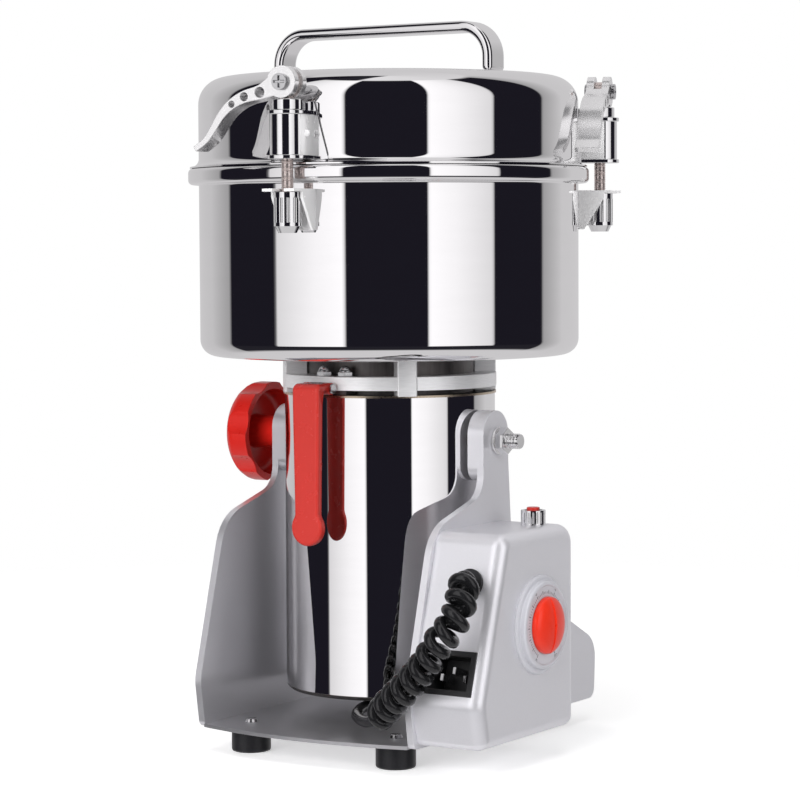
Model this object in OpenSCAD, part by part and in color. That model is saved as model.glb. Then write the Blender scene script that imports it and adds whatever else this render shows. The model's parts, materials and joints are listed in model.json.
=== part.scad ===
// Swing-type electric spice grinder: a chromed grinding chamber with a clamped
// lid on a motor tube, which tilts between the ears of a painted stand.
// Millimetres, +Z up, +X to the side with the control box, -Y to the front.
// The origin is on the floor, under the middle of the whole outline.

/* [Stand] */
// Height of the rubber feet
foot_h = 14; // [10:1:20]
// Diameter of the rubber feet
foot_d = 22; // [16:1:26]
// Distance of the feet from the middle, left and right
foot_x = 48; // [42:1:52]
// Distance of the front feet in front of the axis
foot_front_y = 70.5; // [66:0.5:80]
// Distance of the rear feet behind the axis
foot_rear_y = 92; // [80:1:96]
// Thickness of the base plate
base_t = 2; // [1.5:0.5:4]
// Reach of the base in front of the axis, at its corners
base_front_y = 88; // [86:1:94]
// Reach of the base behind the axis
base_rear_y = 111; // [106:1:118]
// Bulge of the base's front edge
base_bulge = 10.5; // [6:0.5:14]
// Gap between the motor tube and the side plates
side_gap = 7.4; // [6:0.2:10]
// Thickness of the side plates
plate_t = 4; // [3:0.5:5]
// Distance of the ears' front edge from the pivot
ear_front = 15.5; // [13:0.5:18]
// Distance of the ears' rear edge from the pivot
ear_back = 11.5; // [11:0.5:18]
// Height of the ears' top above the pivot
ear_rise = 16.8; // [15:0.2:18]
// Gap between the motor tube and the ears
ear_gap = 1.2; // [1:0.1:1.6]
// Depth of the ear pads below the pivot
ear_pad_drop = 22; // [18:1:24]

/* [Control box] */
// Width of the box out from the side plate
box_w = 41.8; // [38:0.2:48]
// Wall of the box
box_wall = 2.5; // [2:0.5:3.5]
// Height of the box's top above the base's underside
box_top_h = 114.5; // [112:0.5:120]
// Rounding of the box's outer edges
box_edge_r = 7; // [4:0.5:9]
// Radius of the timer's dial plate
dial_r = 27; // [23:0.5:28]
// Height of the timer's dial plate
dial_h = 5; // [3:0.5:7]
// Radius of the timer's knob
knob_r = 15.5; // [12:0.5:17]
// Height of the timer's knob
knob_h = 6.5; // [5:0.5:9]
// Width of the mains inlet
inlet_w = 30; // [28:0.5:32]
// Height of the mains inlet
inlet_h = 24; // [22:0.5:26]
// Travel of the reset button
reset_travel = 3; // [2:0.5:4]

/* [Motor] */
// Radius of the motor tube
tube_r = 59.6; // [56:0.2:64]
// Wall of the motor tube
tube_wall = 1.5; // [1:0.25:2.5]
// Height of the motor tube
tube_h = 167.8; // [164:0.2:172]
// Gap between the base plate and the motor
floor_gap = 15.1; // [12:0.1:18]
// Drop of the pivot below the motor tube's top
pivot_drop = 25.6; // [22:0.2:30]
// Radius of the pivot studs
stud_r = 4; // [3:0.5:5]
// Radius of the motor shaft
shaft_r = 6; // [5:0.5:7]
// Air gap between rotor and stator
air_gap = 0.7; // [0.5:0.1:1.2]

/* [Neck] */
// Gap between the motor tube and the flange ring
ring_gap = 3.4; // [3:0.1:5]
// Thickness of the flange ring
ring_t = 7.5; // [6:0.5:9]
// Height of the standoff posts
post_h = 21.1; // [20:0.1:26]
// Width of the standoff posts
post_w = 11; // [9:0.5:16]

/* [Chamber and lid] */
// Outer radius of the grinding chamber
bowl_r = 107; // [104:0.5:112]
// Height of the grinding chamber
bowl_h = 105; // [98:0.5:112]
// Thickness of the chamber's and the lid's sheet
sheet_t = 1.5; // [1:0.25:2]
// Reach of the chamber's rolled rim beyond the wall
rim_out = 6; // [5:0.5:8]
// Height of the lid's edge above the rim
lid_h = 50.7; // [48:0.1:56]
// Rounding of the lid's top edge
lid_edge_r = 15; // [10:0.5:18]
// Rise of the lid's crown
lid_crown = 3.5; // [2:0.5:6]
// Length of the lid's handle
handle_len = 145.6; // [125:0.2:155]
// Width of the handle's strip
handle_w = 16.7; // [12:0.1:20]
// Thickness of the handle's strip
handle_t = 6; // [3.5:0.5:7]
// Height of the handle's top above the lid's edge
handle_rise = 29.4; // [24:0.1:34]
// Radius of the lower blade's tips
blade_r = 92; // [80:1:98]

/* [Clamps] */
// Direction of the front clamp, counted from +X
clamp_turn = -83.5; // [-90:0.5:-70]
// Turn of the right clamp's rod and lever about the rod
right_rod_turn = -16; // [-16:1:16]
// Distance of the clamp rods from the chamber wall
rod_out = 13.2; // [13:0.1:15]
// Radius of the clamp rods
rod_r = 3; // [2.5:0.25:3.5]
// Width of the brackets and saddles
saddle_w = 17; // [16:0.5:20]
// Radius of the cam levers' hubs
hub_r = 8.5; // [8:0.25:10.5]
// Radius of the adjusting nuts
nut_r = 7.4; // [6.6:0.1:8]

/* [Knob and lever] */
// Radius of the star knob
star_r = 29; // [26:0.5:32]
// Depth of the star knob's cup
star_depth = 17; // [14:0.5:20]
// Number of scallops around the star knob
star_count = 7; // [5:1:9]
// Width of the red lever at its top
pull_w = 17.5; // [14:0.5:18]
// Thickness of the red lever
pull_t = 5.5; // [4:0.5:7]
// Length of the red lever down to its round end's middle
pull_len = 79; // [60:1:84]
// Radius of the red lever's round end
pull_end_r = 10; // [8:0.5:11]

/* [Curly cord] */
// Diameter of the cord
cord_d = 6.2; // [5:0.1:6.8]
// Outer diameter of the curls
curl_d = 18; // [16.5:0.25:18]
// Number of curls
curl_count = 14; // [11:1:14]

/* [Hidden] */
$fn = 64;
run_fit = 0.05;
slide_gap = 0.2;
turn_gap = 0.3;

// Middle of the whole outline, seen from the motor's axis
middle_x = 0.29;
middle_y = -9.45;

// Heights, counted up from the floor
base_top = foot_h + base_t;
tube_z = base_top + floor_gap;
tube_top = tube_z + tube_h;
pivot_z = tube_top - pivot_drop;
ring_z = tube_top + ring_gap;
ring_top = ring_z + ring_t;
bowl_z = tube_top + post_h;
rim_z = bowl_z + bowl_h;
lid_edge_z = rim_z + lid_h;
lid_seam_z = lid_edge_z - lid_edge_r / 2;
handle_top = lid_edge_z + handle_rise;
handle_x = -1;

// Distances from the middle plane
plate_in = tube_r + side_gap;
plate_out = plate_in + plate_t;
ear_in = tube_r + ear_gap;
box_out = plate_out + box_w;
tube_in = tube_r - tube_wall;

// Side plate outline
plate_chin_y = base_front_y + 4;
plate_chin_z = foot_h + 27;
plate_lobe = [-67, pivot_z - 43.8];
plate_valley_z = pivot_z - 29;
ear_r = (ear_front + ear_back) / 2;
ear_y = (ear_back - ear_front) / 2;
ear_z = pivot_z + ear_rise - ear_r;
ear_root_y = ear_back + 5;
plate_tail_z = foot_h + 33.5;
plate_back_z = pivot_z - 78;

// Control box outline
box_z = foot_h + 2;
box_top = foot_h + box_top_h;
box_rear_y = 13;
box_chin = [-93, foot_h + 20];
box_shoulder = [-63.5, box_top];
face_dir = (box_shoulder - box_chin) / norm(box_shoulder - box_chin);
face_tilt = atan2(face_dir[0], face_dir[1]);

// Timer, reset button, inlet and gland places
timer_y = -27.5;
timer_z = box_top - 51.5;
timer_shaft_r = 3;
timer_depth = 24;
dial_face_r = dial_r - 4;
dial_sink = 0.8;
reset_x = plate_out + 26;
reset_y = -6;
reset_collar_r = 5;
reset_nut_r = 6.8;
reset_nut_h = 8;
reset_button_r = 3.6;
reset_button_h = 2.6;
inlet_x = plate_out + 21;
inlet_along = 24;
inlet_depth = 20;
inlet_rim = 3;
gland_x = plate_out + 25;
gland_along = 72;
gland_r = 5.5;
gland_len = 4;
gland_lead = 3;
screw_r = 2;
screw_head_r = 4;
screw_head_h = 2;

// Motor insides, counted up from the tube's underside
cap_t = 2;
cap_spigot = 8;
bearing_r = 13;
bearing_h = 11;
low_bearing_z = tube_z + 4;
commutator_z = tube_z + 21;
commutator_h = 16;
commutator_r = 16;
stator_low = 55;
stator_z = tube_z + stator_low;
winding_h = 12;
winding_r = tube_in - 4;
rotor_r = tube_in - 16.1;
winding_in = rotor_r + 2;
stator_in = rotor_r + air_gap;
fan_lift = 5;
fan_h = 12;
fan_r = rotor_r - 2;
fan_room = 9.8;
head_plate_t = 14;
stator_h = tube_h - stator_low - winding_h - fan_lift - fan_h - fan_room - head_plate_t;
fan_z = stator_z + stator_h + winding_h + fan_lift;
head_plate_z = tube_top - head_plate_t;
boss_r = 11;
boss_in = tube_r - 9;
hub_bore_r = 15;
post_turn = -48;
ring_r = tube_r + 0.9;
post_out = ring_r;
post_in = post_out - 12.5;
hub_tube_r = post_in - 0.5;
seal_h = 6;
blade_shaft_r = shaft_r - 1;
blade_z = bowl_z + 9;
blade_step = 30;
blade_t = 2.5;
blade_w = 18;
upper_blade_r = blade_r - 22;

// Lid and clamps
bowl_corner_r = 5.6;
bowl_in = bowl_r - sheet_t;
rim_r = bowl_r + rim_out;
rim_drop = 9;
lip_r = bowl_r + 5;
seal_ring_t = 4;
rod_x = bowl_r + rod_out;
bracket_t = 1.6;
bracket_top = rim_z - 13;
bracket_h = 22;
bracket_reach = rod_x + 10.8;
nut_clear = 0.5;
bracket_half = nut_r + nut_clear + bracket_t;
clamp_count = 3;
clamp_turns = [for (i = [0 : clamp_count - 1]) clamp_turn + i * 360 / clamp_count];
rod_turns = [0, right_rod_turn, 0];
saddle_z = rim_z + 2.5;
saddle_h = 25.5;
saddle_plate_t = 2;
saddle_top = saddle_z + saddle_h;
saddle_reach = rod_x + 9.8;
saddle_lip = 1;
slot_gap = 0.5;
bush_r = 8.3;
bush_h = 5.9;
hub_z = saddle_top + bush_h + turn_gap + hub_r;
lever_w = 13;
eye_w = 4;
eye_r = 5.5;
cam_pin_r = 2.5;
cam_head_r = 4.35;
cam_head_h = 2.2;
nut_h = 18;
nut_tip_h = 3.5;
flute_count = 12;
flute_r = 1.1;

// Red lever
pull_x = -5.3;
pull_front_y = ring_r + 17;
pull_pin_y = ring_r + 4;
pull_pin_z = ring_z + 1.2;
pull_pin_r = 1.5;
pull_barrel_r = 3.3;
pull_tab_t = 3.6;
bracket_plate_t = 2.4;
lug_w = 8;
bolt_x = pull_x + 3.5;
bolt_spread = 6.9;
bolt_y = ring_r - 7.5;
bolt_edge = 4;
acorn_af = 8;

// Pivot hardware and star knob
washer_t = 1.6;
nut_af = 13;
pivot_nut_h = 5;
stud_end = 8;
star_wall = 4;
star_hub_r = 10;
star_end_t = 4;
star_x = plate_out + slide_gap + washer_t + slide_gap;
star_gap = 7.5;

// Curly cord: gland on the box, coiled stretch, plain tail to the motor
face_n = [0, -face_dir[1], face_dir[0]];
motor_gland_r = 4;
motor_gland = [14, -36, tube_z - motor_gland_r];
motor_gland_len = 12;
curl_points = [
    [104.3, -92, 105.6], [108.6, -102, 97.3], [108.2, -106, 90], [104.6, -108, 82.9], [98.9, -108, 76.4],
    [93.3, -108, 67.6], [87.6, -107, 61.1], [80.5, -106, 54.2], [74.2, -105, 48.1], [67.2, -103, 42.9],
    [60.2, -100, 36.3], [51, -95, 29.3]
];
tail_points = [[40, -87, 26.5], [30, -78, 25.5], [21, -68, 26], [16, -55, 27]];
rings_per_curl = 8;
cord_sides = 6;

base_plate();
left_side_plate();
right_side_plate();
feet();
foot_screws();
control_box();
dial_plate();
timer_body();
breaker_body();
breaker_nut();
inlet_socket();
inlet_pins();
cord_gland();
coil_cord();
motor_shell();
motor_cap();
motor_gland_block();  // motor_gland
head_plate();
stator_core();
stator_windings();
bearings();
brush_holders();
pivot_bosses();
pivot_studs();
pivot_washers();
pivot_nut();
neck_hub();
flange_ring();
standoff_posts();
lever_bracket();
bracket_bolts();
lever_pin();
chamber();
shaft_seal();
lid();
lid_wall();
lid_seal();
lid_handle();
lid_saddles();
cam_bushes();
clamp_rods();
cam_screws();
clamp_brackets();
rotor_shaft();
rotor_core();
commutator();
cooling_fan();
blades();
blade_spacers();
blade_nut();
cam_lever(0);  // lever_front
cam_lever(1);  // lever_right
cam_lever(2);  // lever_left
adjusting_nut(0);  // nut_front
adjusting_nut(1);  // nut_right
adjusting_nut(2);  // nut_left
star_knob();
release_lever();
timer_knob();
reset_button();

// Helpers

// Children moved so that the origin is under the middle of the outline.
module placed() {
    translate([-middle_x, -middle_y, 0])
        children();
}

// A vector of length one.
function unit(v) = v / norm(v);

// Points of the fillet at corner b, between its neighbours a and c.
function fillet(a, b, c, r, steps) =
    let (
        u = unit(a - b),
        v = unit(c - b),
        half = acos(u * v) / 2,
        middle = b + unit(u + v) * r / sin(half),
        p = b + u * r / tan(half) - middle,
        q = b + v * r / tan(half) - middle,
        start = atan2(p[1], p[0]),
        turn = atan2(p[0] * q[1] - p[1] * q[0], p * q)
    )
    [for (i = [0 : steps]) middle + r * [cos(start + turn * i / steps), sin(start + turn * i / steps)]];

// A closed outline from corners [x, y, radius].
function rounded(corners, steps = 6) =
    let (n = len(corners))
    [for (i = [0 : n - 1])
        let (
            a = corners[(i + n - 1) % n],
            b = corners[i],
            c = corners[(i + 1) % n]
        )
        each b[2] == 0
            ? [[b[0], b[1]]]
            : fillet([a[0], a[1]], [b[0], b[1]], [c[0], c[1]], b[2], steps)];

// The same corners moved inwards by a distance, for a convex outline.
function inset(corners, d) =
    let (n = len(corners))
    [for (i = [0 : n - 1])
        let (
            b = [corners[i][0], corners[i][1]],
            a = corners[(i + n - 1) % n],
            c = corners[(i + 1) % n],
            u = unit([a[0], a[1]] - b),
            v = unit([c[0], c[1]] - b),
            p = b + d * (u + v) / abs(u[0] * v[1] - u[1] * v[0])
        )
        [p[0], p[1], max(corners[i][2] - d, 1)]];

// A smooth curve through points, with steps pieces between two of them.
function curve_point(a, b, c, d, t) =
    0.5 * (2 * b + (c - a) * t + (2 * a - 5 * b + 4 * c - d) * t * t
        + (3 * b - a - 3 * c + d) * t * t * t);
function curve(points, steps) =
    let (n = len(points))
    [for (i = [0 : n - 2], k = [0 : steps - 1])
        curve_point(points[max(i - 1, 0)], points[i], points[i + 1], points[min(i + 2, n - 1)],
            k / steps),
    points[n - 1]];

// An outline in the Y-Z plane, drawn out along X.
module along_x(from, to) {
    translate([from, 0, 0])
        rotate([90, 0, 90])
            linear_extrude(to - from)
                children();
}

// An outline in the X-Z plane, drawn out along Y.
module along_y(from, to) {
    translate([0, to, 0])
        rotate([90, 0, 0])
            linear_extrude(to - from)
                children();
}

// A round bar along X.
module bar_x(from, to, r) {
    translate([from, 0, 0])
        rotate([0, 90, 0])
            cylinder(h = to - from, r = r);
}

// A ring about Z.
module ring(from, to, outer, inner) {
    difference() {
        translate([0, 0, from])
            cylinder(h = to - from, r = outer);
        translate([0, 0, from - 1])
            cylinder(h = to - from + 2, r = inner);
    }
}

// A nut or bolt head about Z.
module hexagon(from, h, across_flats) {
    translate([0, 0, from])
        cylinder(h = h, d = across_flats / cos(30), $fn = 6);
}

// Children at one clamp, with X outwards and Y along the wall.
module at_clamp(index) {
    rotate([0, 0, clamp_turns[index]])
        children();
}

// Children at every clamp.
module at_clamps() {
    for (index = [0 : clamp_count - 1])
        at_clamp(index)
            children();
}

// Children at one clamp, turned with its rod.
module at_rod(index) {
    at_clamp(index)
        translate([rod_x, 0, 0])
            rotate([0, 0, rod_turns[index]])
                translate([-rod_x, 0, 0])
                    children();
}

// Children at every rod.
module at_rods() {
    for (index = [0 : clamp_count - 1])
        at_rod(index)
            children();
}

// Children on the box's sloping front, with Z out of it and Y up along it.
module on_face(x, along) {
    translate([x, box_chin[0] + face_dir[0] * along, box_chin[1] + face_dir[1] * along])
        rotate([90 - face_tilt, 0, 0])
            children();
}

// Places of the feet and their screws
foot_places = [
    [-foot_x, -foot_front_y], [foot_x, -foot_front_y], [-foot_x, foot_rear_y], [foot_x, foot_rear_y]
];

// Stand

base_arc_r = (plate_out * plate_out + base_bulge * base_bulge) / (2 * base_bulge);

// Flat base plate with a bulging front edge.
module base_plate() {
    color("silver") placed()
        difference() {
            intersection() {
                translate([-plate_in, -base_front_y - base_bulge, foot_h])
                    cube([2 * plate_in, base_front_y + base_bulge + base_rear_y, base_t]);
                translate([0, base_arc_r - base_front_y - base_bulge, foot_h - 1])
                    cylinder(h = base_t + 2, r = base_arc_r, $fn = 128);
            }
            for (place = foot_places)
                translate([place[0], place[1], foot_h - 1])
                    cylinder(h = base_t + 2, r = screw_r);
        }
}

plate_corners = [
    [-base_front_y, foot_h, 4],
    [-plate_chin_y, plate_chin_z, 20],
    [plate_lobe[0], plate_lobe[1], 26],
    [-ear_front, plate_valley_z, 14],
    [-ear_front, ear_z, 0],
    [ear_back, ear_z, 0],
    [ear_back, pivot_z - ear_back, 30],
    [ear_root_y, plate_back_z, 20],
    [base_rear_y + 2, plate_tail_z, 16],
    [base_rear_y, foot_h, 6]
];

ear_pad = [
    [-ear_front, pivot_z - ear_pad_drop, 8],
    [-ear_front, ear_z, 0],
    [ear_back, ear_z, 0],
    [ear_back, pivot_z - ear_pad_drop, 8]
];

// A side plate at positive X: a flat lobe with a thick ear around the pivot.
module side_plate() {
    difference() {
        union() {
            along_x(plate_in, plate_out)
                polygon(rounded(plate_corners));
            along_x(ear_in, plate_out) {
                translate([ear_y, ear_z])
                    circle(r = ear_r);
                polygon(rounded(ear_pad));
            }
        }
        translate([0, 0, pivot_z])
            bar_x(ear_in - 1, plate_out + 1, stud_r + run_fit);
    }
}

module right_side_plate() {
    color("silver") placed()
        side_plate();
}

module left_side_plate() {
    color("silver") placed()
        mirror([1, 0, 0])
            side_plate();
}

// Four rubber feet.
module feet() {
    color("black") placed()
        for (place = foot_places)
            translate([place[0], place[1], 0])
                difference() {
                    cylinder(h = foot_h, d = foot_d);
                    translate([0, 0, foot_h / 2])
                        cylinder(h = foot_h, r = screw_r);
                }
}

// Pan-head screws that hold the feet.
module foot_screws() {
    color("gray") placed()
        for (place = foot_places)
            translate([place[0], place[1], 0]) {
                translate([0, 0, foot_h / 2])
                    cylinder(h = foot_h / 2 + base_t + 0.5, r = screw_r);
                translate([0, 0, base_top])
                    cylinder(h = screw_head_h, r1 = screw_head_r, r2 = screw_head_r - 1);
            }
}

// Control box

box_corners = [
    [box_rear_y, box_z, 6],
    [box_rear_y, box_top, 11],
    [box_shoulder[0], box_shoulder[1], 9],
    [box_chin[0], box_chin[1], 18],
    [box_chin[0] + 2, box_z, 6]
];

// A box with rounded outer edges, smaller all round by a margin.
module box_form(margin, start) {
    turns = 4;
    slice = 0.5;
    hull() {
        along_x(start, start + slice)
            polygon(rounded(inset(box_corners, margin)));
        for (i = [0 : turns]) {
            shrink = box_edge_r * (1 - cos(90 * i / turns));
            edge = box_out - margin - box_edge_r * (1 - sin(90 * i / turns));
            along_x(edge - slice, edge)
                polygon(rounded(inset(box_corners, margin + shrink)));
        }
    }
}

// The painted shell, open to the side plate.
module control_box() {
    color("silver") placed()
        difference() {
            box_form(0, plate_out);
            box_form(box_wall, plate_out - 1);
            translate([0, timer_y, timer_z])
                bar_x(box_out - 2 * box_wall, box_out + 1, timer_shaft_r + 2);
            translate([reset_x, reset_y, box_top - 2 * box_wall])
                cylinder(h = 4 * box_wall, r = reset_collar_r);
            on_face(inlet_x, inlet_along)
                translate([-inlet_w / 2, -inlet_h / 2, -4 * box_wall])
                    cube([inlet_w, inlet_h, 8 * box_wall]);
            on_face(gland_x, gland_along)
                translate([0, 0, -4 * box_wall])
                    cylinder(h = 8 * box_wall, r = gland_r - 2);
        }
}

// The raised round dial plate, with a sunk face.
module dial_plate() {
    color("lightgray") placed()
        translate([box_out, timer_y, timer_z])
            rotate([0, 90, 0])
                rotate_extrude()
                    polygon([
                        [timer_shaft_r + 2, 0], [dial_r, 0], [dial_r, dial_h - 1.5],
                        [dial_r - 1.5, dial_h], [dial_face_r, dial_h],
                        [dial_face_r - dial_sink, dial_h - dial_sink],
                        [timer_shaft_r + 2, dial_h - dial_sink]
                    ]);
}

// The clockwork timer behind the dial.
module timer_body() {
    side = 40;
    neck = dial_h - dial_sink + box_wall;
    color("dimgray") placed()
        difference() {
            union() {
                translate([box_out - box_wall - timer_depth, timer_y - side / 2, timer_z - side / 2])
                    cube([timer_depth, side, side]);
                translate([0, timer_y, timer_z])
                    bar_x(box_out - box_wall, box_out - box_wall + neck, timer_shaft_r + 2);
            }
            translate([0, timer_y, timer_z])
                bar_x(box_out - box_wall - timer_depth / 2, box_out + dial_h, timer_shaft_r + run_fit);
        }
}

// A low round dome that rises along X to a height.
module knob_dome(height) {
    skirt_h = 1.5;
    steps = 8;
    rotate([0, 90, 0])
        rotate_extrude()
            polygon(concat(
                [[0, 0], [knob_r, 0]],
                [for (i = [0 : steps])
                    let (a = 90 * i / steps)
                    [knob_r * cos(a), skirt_h + (height - skirt_h) * sin(a)]]
            ));
}

// The timer's domed knob with an upright ridge, on its shaft.
module timer_knob() {
    base_x = box_out + dial_h - dial_sink + turn_gap;
    ridge_w = 2.4;
    ridge_rise = 0.7;
    shaft_end = box_out - box_wall - timer_depth / 2 + turn_gap;
    color("orangered") placed()
        translate([0, timer_y, timer_z])
            union() {
                translate([base_x, 0, 0])
                    knob_dome(knob_h);
                intersection() {
                    translate([base_x, 0, 0])
                        knob_dome(knob_h + ridge_rise);
                    translate([base_x + 1, -ridge_w / 2, -knob_r])
                        cube([knob_h + 1, ridge_w, 2 * knob_r]);
                }
                bar_x(shaft_end, base_x + 1, timer_shaft_r);
            }
}

// The thermal breaker inside the box, with its threaded collar.
module breaker_body() {
    side = 16;
    body_h = 22;
    body_top = box_top - box_wall - 6;
    color("black") placed()
        translate([reset_x, reset_y, 0])
            difference() {
                union() {
                    translate([-side / 2, -side / 2, body_top - body_h])
                        cube([side, side, body_h]);
                    translate([0, 0, body_top - 1])
                        cylinder(h = box_top + reset_nut_h - body_top + 1, r = reset_collar_r);
                }
                translate([0, 0, box_top - reset_travel - 4])
                    cylinder(h = reset_nut_h + reset_travel + 6, r = reset_button_r + run_fit);
            }
}

// The chromed ring nut around the collar.
module breaker_nut() {
    grip_count = 18;
    color("lightgray") placed()
        translate([reset_x, reset_y, 0])
            difference() {
                ring(box_top, box_top + reset_nut_h, reset_nut_r, reset_collar_r);
                for (i = [0 : grip_count - 1])
                    rotate([0, 0, i * 360 / grip_count])
                        translate([reset_nut_r + 0.3, 0, box_top + 1])
                            cylinder(h = reset_nut_h - 2, r = 0.7);
            }
}

// The red reset button in the collar.
module reset_button() {
    color("red") placed()
        translate([reset_x, reset_y, box_top - 2])
            cylinder(h = reset_nut_h + reset_button_h + 1, r = reset_button_r);
}

// The mains inlet: a black body with a hollow for the plug.
module inlet_socket() {
    proud = 1;
    color("black") placed()
        on_face(inlet_x, inlet_along)
            difference() {
                translate([-inlet_w / 2, -inlet_h / 2, proud - inlet_depth])
                    cube([inlet_w, inlet_h, inlet_depth]);
                translate([-inlet_w / 2 + inlet_rim, -inlet_h / 2 + inlet_rim, proud - inlet_depth + 3])
                    cube([inlet_w - 2 * inlet_rim, inlet_h - 2 * inlet_rim, inlet_depth]);
            }
}

// Three flat contact pins in the inlet.
module inlet_pins() {
    pin_w = 2;
    pin_h = 4;
    pin_len = 12;
    floor_z = 1 - inlet_depth + 3;
    color("gainsboro") placed()
        on_face(inlet_x, inlet_along)
            for (place = [[-7, -2], [0, 2], [7, -2]])
                translate([place[0] - pin_w / 2, place[1] - pin_h / 2, floor_z])
                    cube([pin_w, pin_h, pin_len]);
}

// The black gland that the curly cord comes out of.
module cord_gland() {
    flange_r = gland_r + 2.5;
    color("black") placed()
        on_face(gland_x, gland_along) {
            cylinder(h = 2, r = flange_r);
            cylinder(h = gland_len, r1 = gland_r, r2 = gland_r - 1.5);
            translate([0, 0, -box_wall])
                cylinder(h = box_wall + 1, r = gland_r - 2);
        }
}

// Curly cord

gland_place = [gland_x, box_chin[0] + face_dir[0] * gland_along, box_chin[1] + face_dir[1] * gland_along];
cord_start = gland_place + face_n * gland_len;
cord_lead = cord_start + face_n * gland_lead;
cord_end = motor_gland;
cord_tail = cord_end - [0, cord_d, 0];
curl_r = (curl_d - cord_d) / 2;

// The coiled stretch's middle line, evenly stepped.
curl_line = curve(concat([cord_lead], curl_points), 8);
tail_line = curve(concat([curl_points[len(curl_points) - 1]], tail_points, [cord_tail]), 3);

// Length along a line up to each of its points.
function run_lengths(line, i = 0, so_far = 0, out = []) =
    i == len(line)
        ? out
        : let (now = i == 0 ? 0 : so_far + norm(line[i] - line[i - 1]))
            run_lengths(line, i + 1, now, concat(out, [now]));
function place_at(line, lengths, s, i = 0) =
    i >= len(line) - 2 || lengths[i + 1] >= s
        ? line[i] + (line[i + 1] - line[i]) * (s - lengths[i]) / (lengths[i + 1] - lengths[i])
        : place_at(line, lengths, s, i + 1);

curl_lengths = run_lengths(curl_line);
curl_run = curl_lengths[len(curl_lengths) - 1];
curl_rings = curl_count * rings_per_curl;
side_ref = unit([0.8, 0.6, 0]);

// The share of the run at a share of the turns: wider at the top than below.
function run_share(u) = u + 0.12 * u * (1 - u);
// The curls grow out of the straight ends over the first and last curl.
function curl_size(u) = curl_r * min(1, u * curl_count / 2, (1 - u) * curl_count);

curl_tube = [for (i = [0 : curl_rings])
    let (
        u = i / curl_rings,
        s = curl_run * run_share(u),
        p = place_at(curl_line, curl_lengths, min(s, curl_run)),
        q = place_at(curl_line, curl_lengths, max(s - 2, 0)),
        r = place_at(curl_line, curl_lengths, min(s + 2, curl_run)),
        t = unit(r - q),
        n = unit(cross(t, side_ref)),
        b = cross(t, n),
        turn = 360 * curl_count * u
    )
    p + curl_size(u) * (cos(turn) * n - sin(turn) * b)];

cord_line = concat(
    [cord_start],
    curl_tube,
    [for (i = [1 : len(tail_line) - 1]) tail_line[i]],
    [cord_end]
);
cord_count = len(cord_line);

// Directions along the cord, square to what it meets at both ends.
cord_dirs = [for (i = [0 : cord_count - 1])
    i == 0 ? face_n
        : i == cord_count - 1 ? [0, 1, 0]
        : unit(cord_line[i + 1] - cord_line[i - 1])];

// A side direction carried along the cord without twist.
function carry(i, v, out) =
    i == cord_count
        ? out
        : let (w = unit(v - cord_dirs[i] * (v * cord_dirs[i]))) carry(i + 1, w, concat(out, [w]));
cord_sides_dir = carry(0, [1, 0, 0], []);

cord_points = [for (i = [0 : cord_count - 1], k = [0 : cord_sides - 1])
    let (a = k * 360 / cord_sides)
    cord_line[i]
        + cord_d / 2 * (cos(a) * cord_sides_dir[i] + sin(a) * cross(cord_dirs[i], cord_sides_dir[i]))];

cord_faces = concat(
    [for (k = [1 : cord_sides - 2]) [0, k, k + 1]],
    [for (k = [1 : cord_sides - 2])
        let (last = (cord_count - 1) * cord_sides) [last, last + k + 1, last + k]],
    [for (i = [0 : cord_count - 2], k = [0 : cord_sides - 1])
        let (a = i * cord_sides + k, b = i * cord_sides + (k + 1) % cord_sides)
        each [[a, a + cord_sides, b], [b, a + cord_sides, b + cord_sides]]]
);

// The least gap between stretches that are three diameters or more apart along the cord.
cord_lengths = run_lengths(cord_line);
cord_gap = min([for (i = [0 : cord_count - 1], j = [i + 1 : cord_count - 1])
    if (cord_lengths[j] - cord_lengths[i] > 3 * cord_d) norm(cord_line[i] - cord_line[j])]) - cord_d;
echo("least gap of the curly cord to itself", cord_gap);

// The curly cord as one unbroken tube.
module coil_cord() {
    color("black") placed()
        polyhedron(points = cord_points, faces = cord_faces);
}

// Motor

// The chromed motor tube, with holes for the pivot bosses.
module motor_shell() {
    color("lightgray") placed()
        difference() {
            ring(tube_z + cap_t, tube_top, tube_r, tube_in);
            translate([0, 0, pivot_z])
                bar_x(-tube_r - 1, tube_r + 1, boss_r);
        }
}

// The bottom cap, with air slots and a seat for the lower bearing.
module motor_cap() {
    slot_count = 12;
    hub_h = low_bearing_z + bearing_h - tube_z;
    color("dimgray") placed()
        difference() {
            union() {
                translate([0, 0, tube_z])
                    cylinder(h = cap_t, r1 = tube_r - cap_t, r2 = tube_r);
                ring(tube_z + cap_t, tube_z + cap_t + cap_spigot, tube_in, tube_in - 3);
                translate([0, 0, tube_z])
                    cylinder(h = hub_h, r = bearing_r + 4);
            }
            translate([0, 0, low_bearing_z])
                cylinder(h = hub_h, r = bearing_r);
            for (i = [0 : slot_count - 1])
                rotate([0, 0, i * 360 / slot_count])
                    translate([bearing_r + 9, -2, tube_z - 1])
                        cube([8, 4, cap_t + 2]);
        }
}

// The gland under the cap, where the cord enters the motor.
module motor_gland_block() {
    color("black") placed()
        translate(motor_gland) {
            rotate([-90, 0, 0])
                cylinder(h = motor_gland_len, r = motor_gland_r);
            translate([-motor_gland_r, 0, 0])
                cube([2 * motor_gland_r, motor_gland_len, motor_gland_r]);
        }
}

// The thick plate at the tube's top, with the upper bearing's seat.
module head_plate() {
    color("dimgray") placed()
        difference() {
            translate([0, 0, head_plate_z])
                cylinder(h = head_plate_t, r = tube_in);
            translate([0, 0, tube_top - bearing_h])
                cylinder(h = bearing_h + 1, r = bearing_r);
            translate([0, 0, head_plate_z - 1])
                cylinder(h = head_plate_t, r = shaft_r + 2);
        }
}

// The laminated stator stack.
module stator_core() {
    color("slategray") placed()
        ring(stator_z, stator_z + stator_h, tube_in, stator_in);
}

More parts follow.
